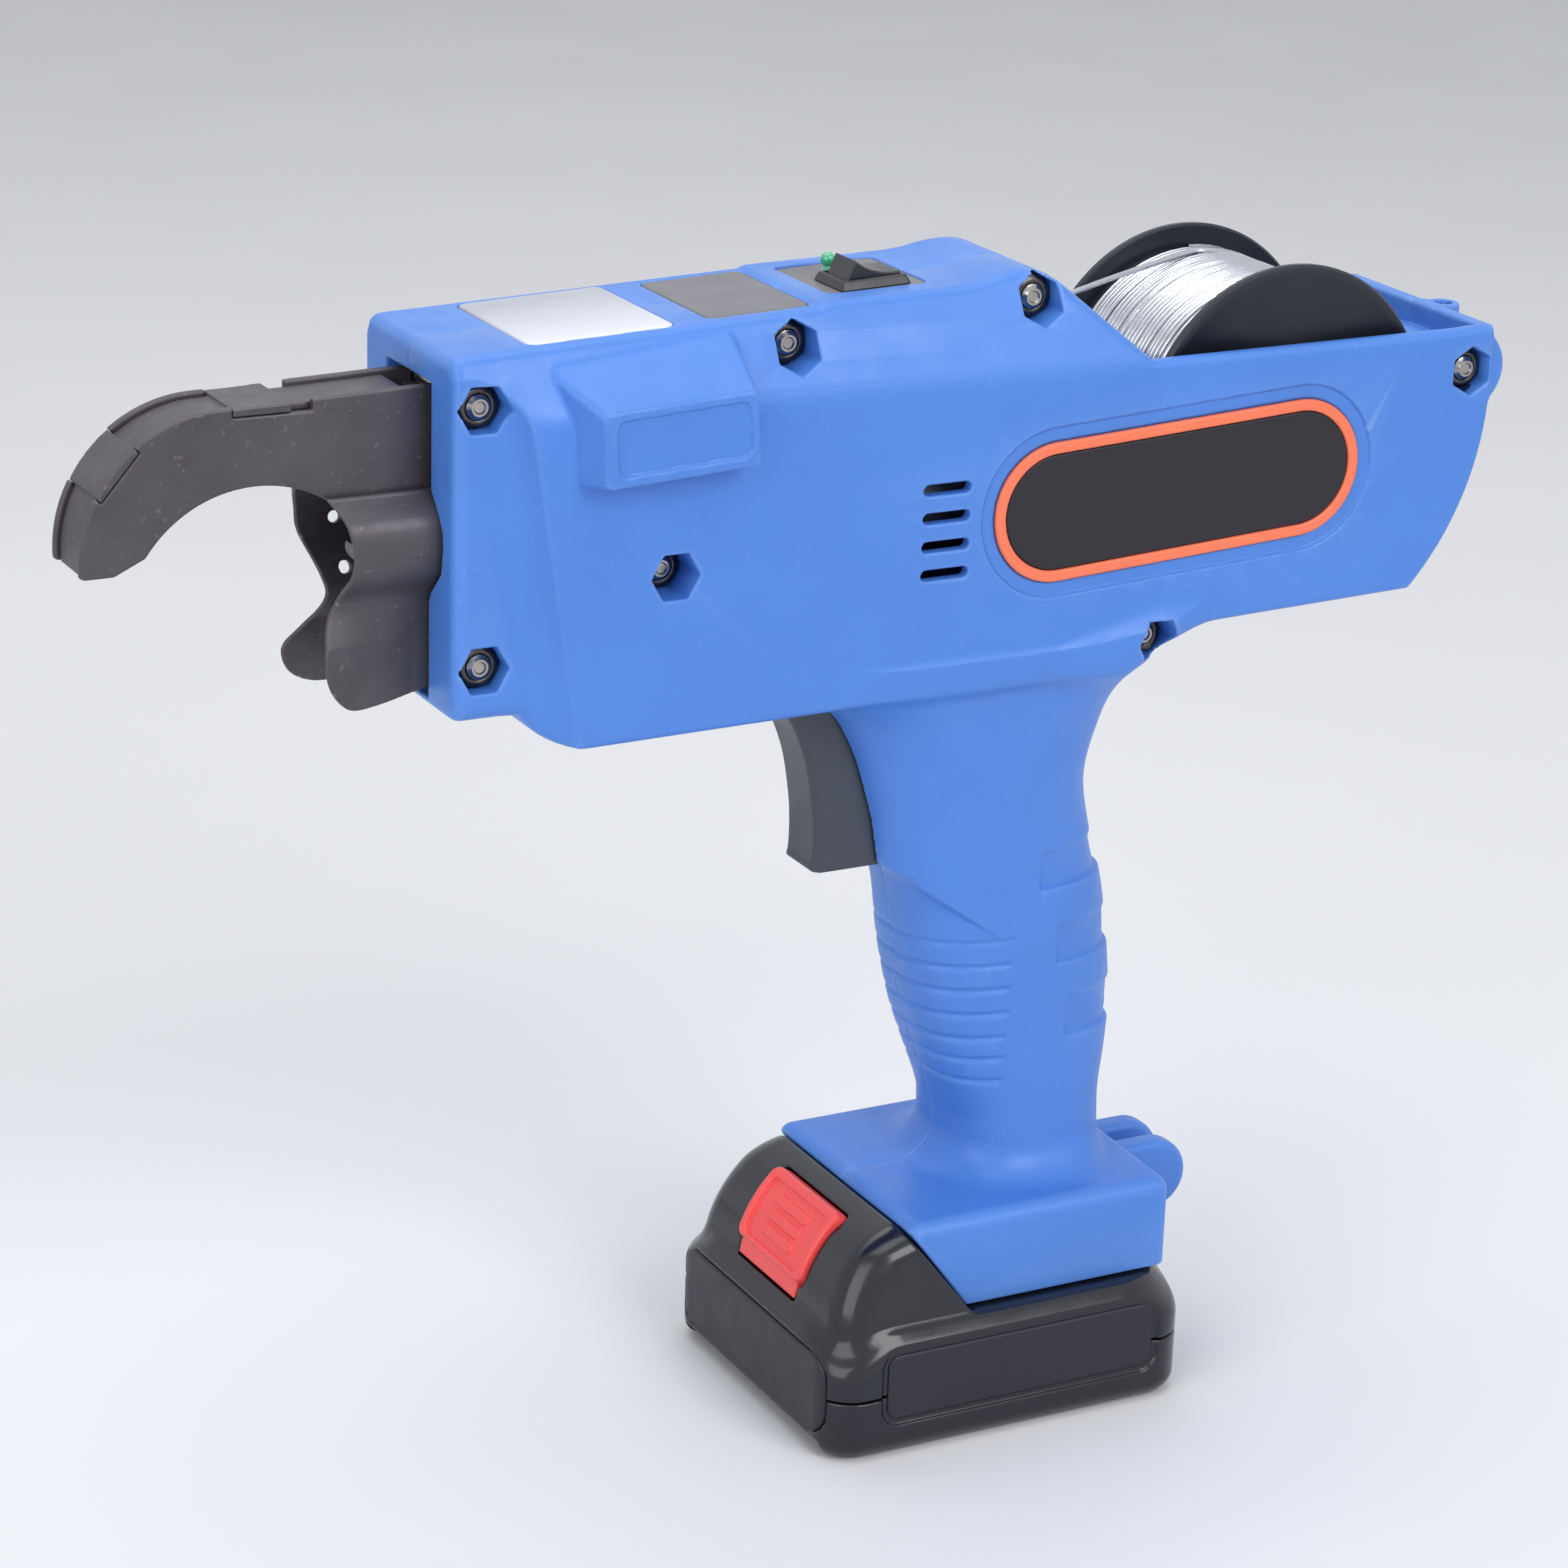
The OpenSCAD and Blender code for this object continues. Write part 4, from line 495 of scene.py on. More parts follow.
def trigger_slot(p, values):
    slot = np.maximum(np.maximum(p.x + 10, p.y - 7.4), slab(p.z, 118.6, FLOOR_Z))
    return cut(values, slot, 0.3)


def vents(p, values):
    for k in range(4):
        slot = round_rect(p.x + 21.3, p.z - 186.3 - 5.75 * k, 5.3, 1.1, 1.09)
        values = cut(values, np.maximum(slot, 22 - p.y), 0.4)
    return values


def badge_seat(p, values):
    seat = np.maximum(badge_shape(p, -0.1), HALF_W - 1.2 - p.y)
    recess = np.maximum(badge_shape(p, -3.0), HALF_W - 0.7 - p.y)
    return cut(cut(values, recess, 0.25), seat, 0.2)


def bolt_holes(g, field, left):
    """Nut pockets on the left, bolt head pockets on the right."""
    for x, z, seat, turn in BOLTS:
        def drill(p, v, x=x, z=z, seat=seat, turn=turn):
            along, up = p.x - x, p.z - z
            pocket = hexagon(along, up, NUT_POCKET, turn) if left else disc(along, up, HEAD_POCKET_R)
            bored = np.maximum(v, -disc(along, up, BOLT_R + 0.2))
            return cut(bored, np.maximum(pocket, seat - p.y), 0.2)
        within(g, field, (x - 9, -2, z - 9), (x + 9, 30, z + 9), drill)


def top_cuts(g, field, side):
    """Seats for the window, the plates, the switch and the lamp."""
    def seat(x, y, length, width, corner, depth):
        def sink(p, v):
            run = (p.x - x) * math.cos(TOP_TILT) + (p.z - top_z(x)) * math.sin(TOP_TILT)
            rise = (p.z - top_z(x)) * math.cos(TOP_TILT) - (p.x - x) * math.sin(TOP_TILT)
            outline = round_rect(run, side * p.y - y, length / 2, width / 2, corner)
            return cut(v, np.maximum(outline, -depth - rise), 0.3)
        within(g, field, (x - length, -2, 220), (x + length, 30, 250), sink)
    for x, y, length, width, corner, depth in (WINDOW_SEAT, LABEL_SEAT, SWITCH_SEAT):
        seat(x, y, length + PLATE_ROOM, width + PLATE_ROOM, corner, depth)
    seat(SWITCH_X, SWITCH_Y, 13.6, 10.2, 0.5, 8.5)
    seat(LAMP_X, LAMP_Y, 3.2, 3.2, 1.58, 6)


def pod_field(p):
    """Raised cover over the feed gear: sloping flanks and a sunk panel in its face."""
    rise = p.y - HALF_W
    c, t = math.cos(BADGE_TILT), math.sin(BADGE_TILT)
    along, up = (p.x + 82.2) * c + (p.z - 220.8) * t, (p.z - 220.8) * c - (p.x + 82.2) * t
    top = np.maximum((up - 7.3 - 0.64 * (6.5 - rise)) / 1.19, -up - 7.3 - 0.08 * (6.5 - rise))
    ends = np.maximum(-along - 16 - 0.55 * (6.5 - rise), along - 16 - 0.1 * (6.5 - rise)) / 1.05
    pod = meet(meet(top, ends, 1.6), rise - 6.5, 0.6)
    panel = np.maximum(round_rect(along - 0.3, up - 0.2, 13.9, 5.4, 2), 5.9 - rise)
    return cut(np.maximum(pod, 20 - p.y), panel, 0.2)


def eye_field(p):
    """A small eye on the tail."""
    neck = np.maximum(slab(p.x, 104.6, EYE_X), np.abs(p.y - EYE_Y) - EYE_R)
    stem = np.minimum(disc(p.x - EYE_X, p.y - EYE_Y, EYE_R), neck)
    return bore_eye(p, meet(stem, slab(p.z, 216, RIM_Z), 0.6))


def bore_eye(p, values):
    return np.maximum(values, -disc(p.x - EYE_X, p.y - EYE_Y, EYE_BORE))


def add_cover(p, values):
    return join(values, pod_field(p), 0.5)


def add_eye(p, values):
    return np.maximum(join(values, eye_field(p), 0.8), -p.y)


def make_housings():
    """Both halves, from the shared half: the left has the raised cover and the eye."""
    g = grid_over((-126, 0, 26), (115, 35, 244), 0.45)
    shared = housing_shell(g)
    for side in ("left", "right"):
        left = side == "left"
        field = shared.copy()
        if left:
            within(g, field, (-112, 18, 205), (-55, 36, 242), add_cover)
            within(g, field, (103, -3, 212), (116, 12, 228), add_eye)
            within(g, field, (105, -3, 212), (116, 12, 228), bore_eye)
        bolt_holes(g, field, left)
        top_cuts(g, field, -1 if left else 1)
        shell = field_piece(side + "_shell", field, g, 120000, mirrored=left)
        dress(shell, "housing", BLUE, "housing_blue", side + "_housing")


# Fittings on the housing
def plate(name, seat, high, r, material, slot, node, hole=None):
    """A plate in its seat on the top, and any hole in it of given place and half sizes."""
    x, y, length, width, corner, depth = seat
    g = grid_over((-length / 2, -width / 2, -depth), (length / 2, width / 2, high), 0.3)
    field = meet(round_rect(g.x, g.y, length / 2, width / 2, corner), slab(g.z, -depth, high), r)
    if hole:
        field = np.maximum(field, -round_rect(g.x - hole[0], g.y - hole[1], hole[2], hole[3], 0.5))
    dress(field_piece(name, field, g, 6000, top_frame(x, y)), "housing", material, slot, node)


def make_badges():
    """On each side a bare panel in an orange rim."""
    g = grid_over((-12, 25, 180), (77, 27, 216), 0.35)
    panel = meet(badge_shape(g, BADGE_RIM), slab(g.y, HALF_W - 1.2, HALF_W - 0.15), 0.3)
    ring = meet(badge_shape(g, 0), -badge_shape(g, BADGE_RIM - 0.06), 0.5)
    rim = meet(ring, slab(g.y, HALF_W - 1.2, HALF_W + 0.15), 0.6)
    for side in ("left", "right"):
        left = side == "left"
        face = field_piece(side + "_badge_panel", panel, g, 9000, mirrored=left)
        dress(face, "housing", BADGE, "badge_black", side + "_badge")
        border = field_piece(side + "_badge_rim", rim, g, 12000, mirrored=left)
        dress(border, "housing", ORANGE, "badge_orange", side + "_badge_border")


def make_switch():
    """The switch's plate, its bezel and its rocking paddle, with the front end raised."""
    hole = (SWITCH_X - SWITCH_SEAT[0], SWITCH_Y - SWITCH_SEAT[1], 6.8, 5.1)
    plate("switch_seat", SWITCH_SEAT, 0, 0.25, PLATE, "plate_grey", "switch_plate", hole)
    g = grid_over((-8, -6.3, -8), (8, 6.3, 2.2), 0.2)
    lip = meet(round_rect(g.x, g.y, 7.9, 6.2, 1.0) + 0.55 * np.maximum(g.z, 0), slab(g.z, 0, 1.9), 0.3)
    body = np.maximum(round_rect(g.x, g.y, 6.6, 4.9, 0.5), slab(g.z, -8, 1))
    well = np.maximum(round_rect(g.x, g.y, 6.2, 4.5, 0.4), -6.5 - g.z)
    bezel = cut(np.minimum(lip, body), well, 0.2)
    place = top_frame(SWITCH_X, SWITCH_Y)
    surround = field_piece("switch_frame", bezel, g, 9000, place)
    dress(surround, "housing", BLACK, "switch_black", "switch_bezel")
    tilt = math.radians(10)
    g = grid_over((-6.4, -4.8, -4), (6.4, 4.8, 6), 0.15)
    p = g.x * math.cos(tilt) - g.z * math.sin(tilt)
    q = g.z * math.cos(tilt) + g.x * math.sin(tilt)
    crown = flowing([(-4.6, 4.7), (-3.2, 4.0), (-1.6, 3.4), (0.6, 3.0), (3, 3.0), (5.7, 3.4)], 3)
    paddle = polygon(p, q, [(-5.9, 0.4), *crown, (5.9, 0.4), (5.0, -1.5), (0, -3), (-5.0, -1.5)])
    paddle = meet(paddle, np.abs(g.y) - 4.2, 0.35)
    pivot = np.maximum(disc(g.x, g.z, 1.2), np.abs(g.y) - 4.7)
    rocker = field_piece("switch_paddle", np.minimum(paddle, pivot), g, 9000, place)
    dress(rocker, "rocker", BLACK, "switch_black", "power_rocker")


def make_lamp():
    ball = arc((0, 2.8), 1.55, -54, 90, 16)
    profile = [(0, -3), (1.5, -3), (1.5, 0.5), (1.3, 0.8), *ball]
    bulb = lathe("status_lamp", profile, top_frame(LAMP_X, LAMP_Y), 32)
    dress(bulb, "housing", LAMP, "led_green", "status_led")


# Guide arm
ARM_BEND, ARM_R = (-164.0, 200.7), 27.7
ARM_THROAT, THROAT_R = (-157.5, 187.2), 26.0
ARM_TOP, ARM_LOW, ARM_BACK = 229.4, 208.5, -106.0


def arm_notch(g, depth, room, spare):
    """Seats of the strip's two tabs, along the top and on the bend."""
    top = np.maximum(slab(g.x, -161.9 + spare, -150.3 + room - spare), 228.6 - depth - g.z)
    angle = math.radians(139.4)
    p, q = g.x - ARM_BEND[0], g.z - ARM_BEND[1]
    out, along = p * math.cos(angle) + q * math.sin(angle), q * math.cos(angle) - p * math.sin(angle)
    return np.minimum(top, np.maximum(np.abs(along) - 5.8 + spare, ARM_R - depth - out))


def make_arm():
    """Two flat cheeks and the strip between them, whose tabs sit in the cheeks."""
    bend, throat = arc(ARM_BEND, ARM_R, 90, 183, 40), arc(ARM_THROAT, THROAT_R, 146, 52, 40)
    tip_x, tip_z = bend[-1][0], bend[-1][1] - 0.4
    side = [(ARM_BACK, ARM_LOW), (ARM_BACK, ARM_TOP), (-127, ARM_TOP), *bend, (tip_x + 0.8, tip_z),
            (tip_x + 6.5, tip_z), *throat, (throat[-1][0] + 6, ARM_LOW)]
    bolt_x, bolt_z = BOLTS[0][:2]
    g = grid_over((-192, 6, 196), (-105, 8.2, 230), 0.3)
    outline = cut(polygon(g.x, g.z, side), arm_notch(g, 2.0, 4, 0), 0.3)
    sheet = np.maximum(meet(outline, slab(g.y, 6.2, 8), 0.45), -disc(g.x - bolt_x, g.z - bolt_z, 2.7))
    for name in ("left", "right"):
        cheek = field_piece("arm_%s_cheek" % name, sheet, g, 14000, mirrored=name == "left")
        dress(cheek, "housing", STEEL, "arm_steel", "arm_%s_plate" % name)
    g = grid_over((-192, -8, 196), (-126, 8, 230), 0.3)
    edge = polygon(g.x, g.z, side)
    along = np.maximum(np.maximum(edge, g.x + 127), slab(strip_edge(g), -2.5, -0.9))
    band = meet(along, np.abs(g.y) - 5.9, 0.35)
    tabs = np.maximum(np.maximum(edge + 0.3, arm_notch(g, 1.9, 0, 0.08)), np.abs(g.y) - 7.9)
    strip = field_piece("arm_cover_strip", np.minimum(band, tabs), g, 16000)
    dress(strip, "housing", STEEL, "arm_steel", "arm_strip")


def strip_edge(g):
    """Depth below the arm's top edge and outer bend, negative inside."""
    bend = disc(g.x - ARM_BEND[0], g.z - ARM_BEND[1], ARM_R)
    top = g.z - ARM_TOP + (-127 - g.x) / 37
    return np.where(g.x < ARM_BEND[0], bend, top)


# Lower guide cheeks: the bulged section, then the shared and the own stretches of their front edges
GUIDE_SECTION = [(9.2, 209.9), (9.9, 208.6), (13.6, 205.6), (14.8, 202.5), (14.8, 198.5), (13.6, 195),
                 (9.8, 191), (8.5, 187.8), (8.4, 180), (8.4, 171.8), (8.4, 167.3)]
GUIDE_TOP = [(-144.4, 209.9), (-142.3, 206.5), (-141.3, 201.9), (-141, 197.8)]
GUIDE_TAIL = [(-138.5, 168.1), (-133, 168.6), (-126.7, 169.8)]
GUIDE_EDGES = {
    "left": [(-141.5, 193.5), (-142.4, 189.3), (-144.2, 185.9), (-145, 181.8), (-145.1, 176.6), (-144, 172.4),
             (-141.3, 169.1)],
    "right": [(-139.6, 193.5), (-138.2, 189), (-137.2, 185.6), (-138.6, 182.4), (-142.3, 178.8),
              (-145, 176.2), (-145.6, 174), (-144.6, 171), (-142.2, 169)],
}


def make_guides():
    """Formed sheet cheeks that bulge round the twist hook and spread towards their front."""
    bolt_x, bolt_z = BOLTS[1][:2]
    g = grid_over((-147, 7, 167), (-107, 16.5, 211), 0.3)
    spread = 2.4 * np.clip((-127 - g.x) / 18, 0, 1) * np.clip((188 - g.z) / 7, 0, 1)
    skin = polyline(g.y - spread, g.z, flowing(GUIDE_SECTION)) - 0.6
    holes = np.minimum(disc(g.x + 133.2, g.z - 190.4, 1.2), disc(g.x + 133.2, g.z - 199, 1.2))
    for name, edge in GUIDE_EDGES.items():
        front = flowing([*GUIDE_TOP, *edge, *GUIDE_TAIL])
        outline = polygon(g.x, g.z, [(-107, 209.9), *front, (-123, 170.6), (-107, 171.8)])
        sheet = np.maximum(meet(skin, outline, 0.4), -disc(g.x - bolt_x, g.z - bolt_z, 2.7))
        if name == "right":
            sheet = np.maximum(sheet, -holes)
        cheek = field_piece("guide_%s_cheek" % name, sheet, g, 12000, mirrored=name == "left")
        dress(cheek, "housing", STEEL, "arm_steel", "lower_guide_" + name)


# Fasteners
def make_fasteners():
    g = grid_over((-5, -5, 0), (5, 5, NUT_T), 0.2)
    past_face = np.maximum(np.abs(g.z - NUT_T / 2) - NUT_T / 2 + 0.5, 0)
    cone = disc(g.x, g.y, NUT_ACROSS / 2 + 0.2) + 1.7 * past_face
    nut = meet(np.maximum(hexagon(g.x, g.y, NUT_ACROSS, 0), cone), slab(g.z, 0, NUT_T), 0.15)
    nut = cut(nut, disc(g.x, g.y, BOLT_R + 0.06), 0.3)
    head = meet(disc(g.x, g.y, 4.4), slab(g.z, 0, 3.5), 0.4)
    head = cut(head, np.maximum(hexagon(g.x, g.y, 4, 0), 1.7 - g.z), 0.15)
    nuts, bolts = [], []
    for k, (x, z, seat, turn) in enumerate(BOLTS):
        left = Matrix.Translation((x, -seat, z)) @ Matrix.Rotation(math.radians(90), 4, "X")
        turned = left @ Matrix.Rotation(math.radians(turn), 4, "Z")
        nuts.append(field_piece("nut_%d" % k, nut, g, 2500, turned))
        right = Matrix.Translation((x, seat, z)) @ Matrix.Rotation(math.radians(-90), 4, "X")
        bolts.append(field_piece("head_%d" % k, head, g, 2500, right))
        bolts.append(lathe("shank_%d" % k, shank(2 * seat + NUT_T + 0.8), right, 24))
    dress(joined("housing_nut_set", nuts), "housing", NUT, "zinc_steel", "housing_nuts")
    dress(joined("housing_bolt_set", bolts), "housing", ZINC, "zinc_steel", "housing_bolts")


def shank(length):
    """Profile of a bolt's shank, threaded at its end, which is dished."""
    thread = []
    for k in range(12):
        low = -length + 0.7 + 0.8 * k
        thread += [(BOLT_R, low), (BOLT_R - 0.35, low + 0.4)]
    end = [(0, -length + 0.35), (1.0, -length + 0.35), (1.25, -length), (1.7, -length),
           (BOLT_R - 0.3, -length + 0.5)]
    return [*end, *thread, (BOLT_R, -length + 10.4), (BOLT_R, 0.3), (0, 0.3)]


# Reel
def round_reel(angle, radius, across):
    """Points at angles and radii about the reel's axle, and at places along it."""
    return np.stack([SPOOL_X + radius * np.cos(angle), across, SPOOL_Z + radius * np.sin(angle)], axis=1)


def make_spool():
    half, rim, hub = SPOOL_HALF, 2.0, 11
    profile = [(AXLE_BORE, -half), (10.2, -half), (hub, -half + 0.5), (SPOOL_R - 2.5, -half + 0.35),
               (SPOOL_R - 2, -half), (SPOOL_R - 0.5, -half), (SPOOL_R, -half + 0.5),
               (SPOOL_R, -half + rim - 0.5), (SPOOL_R - 0.5, -half + rim), (hub, -half + rim)]
    profile += [(r, -h) for r, h in reversed(profile)]
    spool = lathe("reel_spool", [*profile, profile[0]], along_y(SPOOL_X, SPOOL_Z), 128)
    dress(spool, "spool", REEL, "spool_black", "wire_spool")


def make_winding():
    """The outer layer of wire, a little uneven, and three strands that cross it."""
    rng = np.random.default_rng(7)
    turns, rings, half_w, thick = 27, 72, 18.5, 0.68
    steps = np.arange(turns * rings + 1)
    knots = np.arange(0, len(steps) + 18, 18)
    drift = np.interp(steps, knots, rng.normal(0, 0.32, len(knots)))
    lift = np.interp(steps, knots, rng.uniform(-0.12, 0.16, len(knots)))
    across = np.clip(-half_w + 2 * half_w * steps / steps[-1] + drift, -half_w, half_w)
    path = round_reel(2 * math.pi * steps / rings + math.pi / 2, 28.7 + lift, across)
    wires = [swept("wire_layer", path, thick, 10)]
    ends = np.clip(np.abs(np.linspace(-1, 1, 160)) - 0.9, 0, 1) / 0.1
    for k, (start, lead) in enumerate(((-15, 9.0), (-3, 7.0), (9, -8.0))):
        angle = np.linspace(0, 2.2 * math.pi, 160) + 0.4 + 2.1 * k
        radius = 29.0 + 0.25 * np.cos(3 * angle) - 1.2 * ends
        path = round_reel(angle, radius, start + lead * np.linspace(0, 1.1, 160))
        wires.append(swept("wire_crossing", path, thick, 10))
    dress(joined("wire_turns", wires), "spool", WIRE, "wire_steel", "wire_winding")


def make_free_end():
    """The wire that leaves the winding for the mouth of the feed tube."""
    mouth = np.array((14.2, 0.0, 231.45))
    lay = round_reel(np.radians((78, 85, 92, 98)), np.array((28.6, 29.2, 29.7, 29.9)), np.full(4, 11.0))
    run = [lay[-1] * (1 - t) + mouth * t + (0, 0, 1.6 * t * (1 - t)) for t in (0.25, 0.5, 0.75, 1)]
    wire = swept("wire_free_end", flowing([*lay, *run], 3), 0.6, 10)
    dress(wire, "housing", WIRE, "wire_steel", "wire_strand")


# Trigger and battery
def make_trigger():
    """A blade with a curved front whose edges are bevelled."""
    g = grid_over((-47.5, -7, 118), (-16, 7, 162), 0.3)
    face = flowing([(-46.6, 160.8), (-44.6, 154.5), (-41.8, 149), (-39.3, 142), (-37.8, 134), (-37.2, 128),
                    (-37.2, 122), (-37.6, 119.4)])
    profile = polygon(g.x, g.z, [(-17, 119), (-17, 124.5), (-20, 126), (-20, 160.8), *face, (-37.2, 119)])
    side = np.abs(g.y) - 7
    front = polyline(g.x, g.z, face)
    bevel = (side - front + 1.5) / math.sqrt(2)
    field = meet(meet(profile, side, 0.5), bevel, 0.4)
    dress(field_piece("trigger_blade", field, g, 14000), "trigger", TRIGGER, "trigger_grey", "trigger")


def base_plan(g, corner=8.5):
    return round_rect(g.x - BASE_X, g.y, BASE_HALF_L, BASE_HALF_W, corner)


def battery_outer(g):
    """Base with bevelled edges, hump with a rounded front, and the slide rail."""
    y = np.abs(g.y)
    bevel = (3.4 * base_plan(g, 17) + 2.9 * (g.z - 23.6)) / 4.47
    base = meet(meet(base_plan(g), -g.z, 4), meet(bevel, g.z - 27, 0.8), 1.4)
    base = cut(base, np.maximum(np.maximum(y - 30.2, g.x + 38), g.z - 3.2), 0.6)
    crown = meet(((y - 33.2) * 19.9 + (g.z - 28) * 3.6) / 20.22, g.z - 47.9, 7)
    front = np.where(g.x < HUMP[0], disc(g.x - HUMP[0], g.z - HUMP[1], HUMP_R), g.z - HUMP[1] - HUMP_R)
    back = np.maximum(((g.x + 25) * 18.9 + (g.z - 45.9) * 14.2) / 23.64, g.x + 10.6)
    hump = np.maximum(meet(meet(crown, front, 7), back, 0.6), 18 - g.z)
    rail = np.minimum(np.maximum(slab(g.z, 25, 35.2), y - 22), np.maximum(slab(g.z, 31, 35.2), y - 26))
    rail = meet(rail, slab(g.x, -8, 32.1), 0.5)
    return np.minimum(join(base, hump, 1.2), rail)


def side_panel(g):
    return round_rect(g.x + 0.3, g.z - 15.3, 32.3, 7.6, 3)


def front_panel(g):
    return round_rect(g.y, g.z - 13.3, 32.4, 9.1, 6)


def slope_frame():
    """Frame on the hump's rounded front, where the button sits."""
    return Matrix.Translation((BUTTON_AT[0], 0, BUTTON_AT[1])) @ Matrix.Rotation(-SLOPE, 4, "Y")


def make_battery():
    """Both halves of the case, open inside, with the button's well and three flat panels."""
    g = grid_over((-46, -37, 0), (41, 37, 48), 0.45)
    outer = battery_outer(g)
    plan = base_plan(g)
    fore = np.maximum(front_panel(g), g.x + 38)
    sunk = np.minimum(np.maximum(side_panel(g) - 0.9, 36.3 - np.abs(g.y)), np.maximum(fore, -0.7 - plan))
    room = np.maximum(np.maximum(slab(g.x, -39.5, 38.5), np.abs(g.y) - 34.5), slab(g.z, 2.5, 24.5))
    room = np.maximum(room, outer + 2)
    run = (g.x - BUTTON_AT[0]) * math.cos(SLOPE) + (g.z - BUTTON_AT[1]) * math.sin(SLOPE)
    rise = (g.z - BUTTON_AT[1]) * math.cos(SLOPE) - (g.x - BUTTON_AT[0]) * math.sin(SLOPE)
    well = np.maximum(round_rect(run, g.y, 8.9, 14.4, 1.5), -6.6 - rise)
    well = np.minimum(well, np.maximum(np.maximum(slab(run, -12.2, 0), np.abs(g.y) - 12.9), -5.5 - rise))
    shell = np.maximum(cut(outer, sunk, 0.2), -room)
    lower = meet(shell, g.z - SEAM_Z + 0.15, 0.35)
    upper = cut(meet(shell, SEAM_Z + 0.15 - g.z, 0.35), well, 0.4)
    bottom = field_piece("battery_bottom", lower, g, 40000)
    dress(bottom, "battery", GLOSS, "battery_black", "battery_lower_case")
    top = field_piece("battery_top", upper, g, 60000)
    dress(top, "battery", GLOSS, "battery_black", "battery_upper_case")
    for name, panel in (("front", meet(fore + 0.4, slab(plan, -1.2, -0.1), 0.3)),
                        ("left", np.maximum(side_panel(g) + 0.4, slab(-g.y, 36, 36.7))),
                        ("right", np.maximum(side_panel(g) + 0.4, slab(g.y, 36, 36.7)))):
        cover = field_piece("battery_%s_panel" % name, panel, g, 9000)
        dress(cover, "battery", PANEL, "battery_black")


def make_button():
    """The release button: a curved block with a dished face, three bars and a skirt below."""
    g = grid_over((-12, -14, -4), (8.5, 14, 1.3), 0.25)
    top = np.hypot(g.x, g.z + HUMP_R) - HUMP_R - 1.2
    block = meet(meet(round_rect(g.x, g.y, 8.5, 14, 2), top, 0.7), -3.8 - g.z, 0.2)
    field = cut(block, np.maximum(round_rect(g.x + 0.4, g.y, 6.6, 11.8, 1.5), -0.9 - top), 0.6)
    for x in (-3.8, -0.4, 3.0):
        bar = np.maximum(round_rect(g.x - x, g.y, 1.1, 6.6, 1.05), slab(top, -2, -0.3))
        field = join(field, bar, 0.5)
    skirt = meet(np.maximum(slab(g.x, -11.8, -5), np.abs(g.y) - 12.5), np.maximum(top + 1, -2.9 - g.z), 0.3)
    button = field_piece("release_button", np.minimum(field, skirt), g, 16000, slope_frame())
    dress(button, "battery_button", RED, "button_red", "battery_button")


# Materials
def shader(name):
    """A new material with its node tree and its main shader."""
    material = bpy.data.materials.new(name)
    material.use_nodes = True
    return material, material.node_tree, material.node_tree.nodes["Principled BSDF"]


def remap(tree, value, low, high, to_low, to_high):
    """Spreads one range of a value over another."""
    node = tree.nodes.new("ShaderNodeMapRange")
    for name, level in zip(("From Min", "From Max", "To Min", "To Max"), (low, high, to_low, to_high)):
        node.inputs[name].default_value = level
    tree.links.new(value, node.inputs["Value"])
    return node.outputs["Result"]


def noise(tree, scale, detail, low, high, stretch=(1, 1, 1)):
    """A noise over the part's own coordinates, spread between two values."""
    coords = tree.nodes.new("ShaderNodeTexCoord")
    mapping = tree.nodes.new("ShaderNodeMapping")
    mapping.inputs["Scale"].default_value = stretch
    tex = tree.nodes.new("ShaderNodeTexNoise")
    tex.inputs["Scale"].default_value = scale
    tex.inputs["Detail"].default_value = detail
    tree.links.new(coords.outputs["Object"], mapping.inputs["Vector"])
    tree.links.new(mapping.outputs["Vector"], tex.inputs["Vector"])
    return remap(tree, tex.outputs["Fac"], 0.3, 0.7, low, high)


def blend_colors(tree, share, first, second):
    mix = tree.nodes.new("ShaderNodeMix")
    mix.data_type = "RGBA"
    for socket, value in ((mix.inputs["Factor"], share), (mix.inputs["A"], first), (mix.inputs["B"], second)):
        if isinstance(value, bpy.types.NodeSocket):
            tree.links.new(value, socket)
        elif isinstance(value, tuple):
            socket.default_value = (*value, 1)
        else:
            socket.default_value = value
    return mix.outputs["Result"]


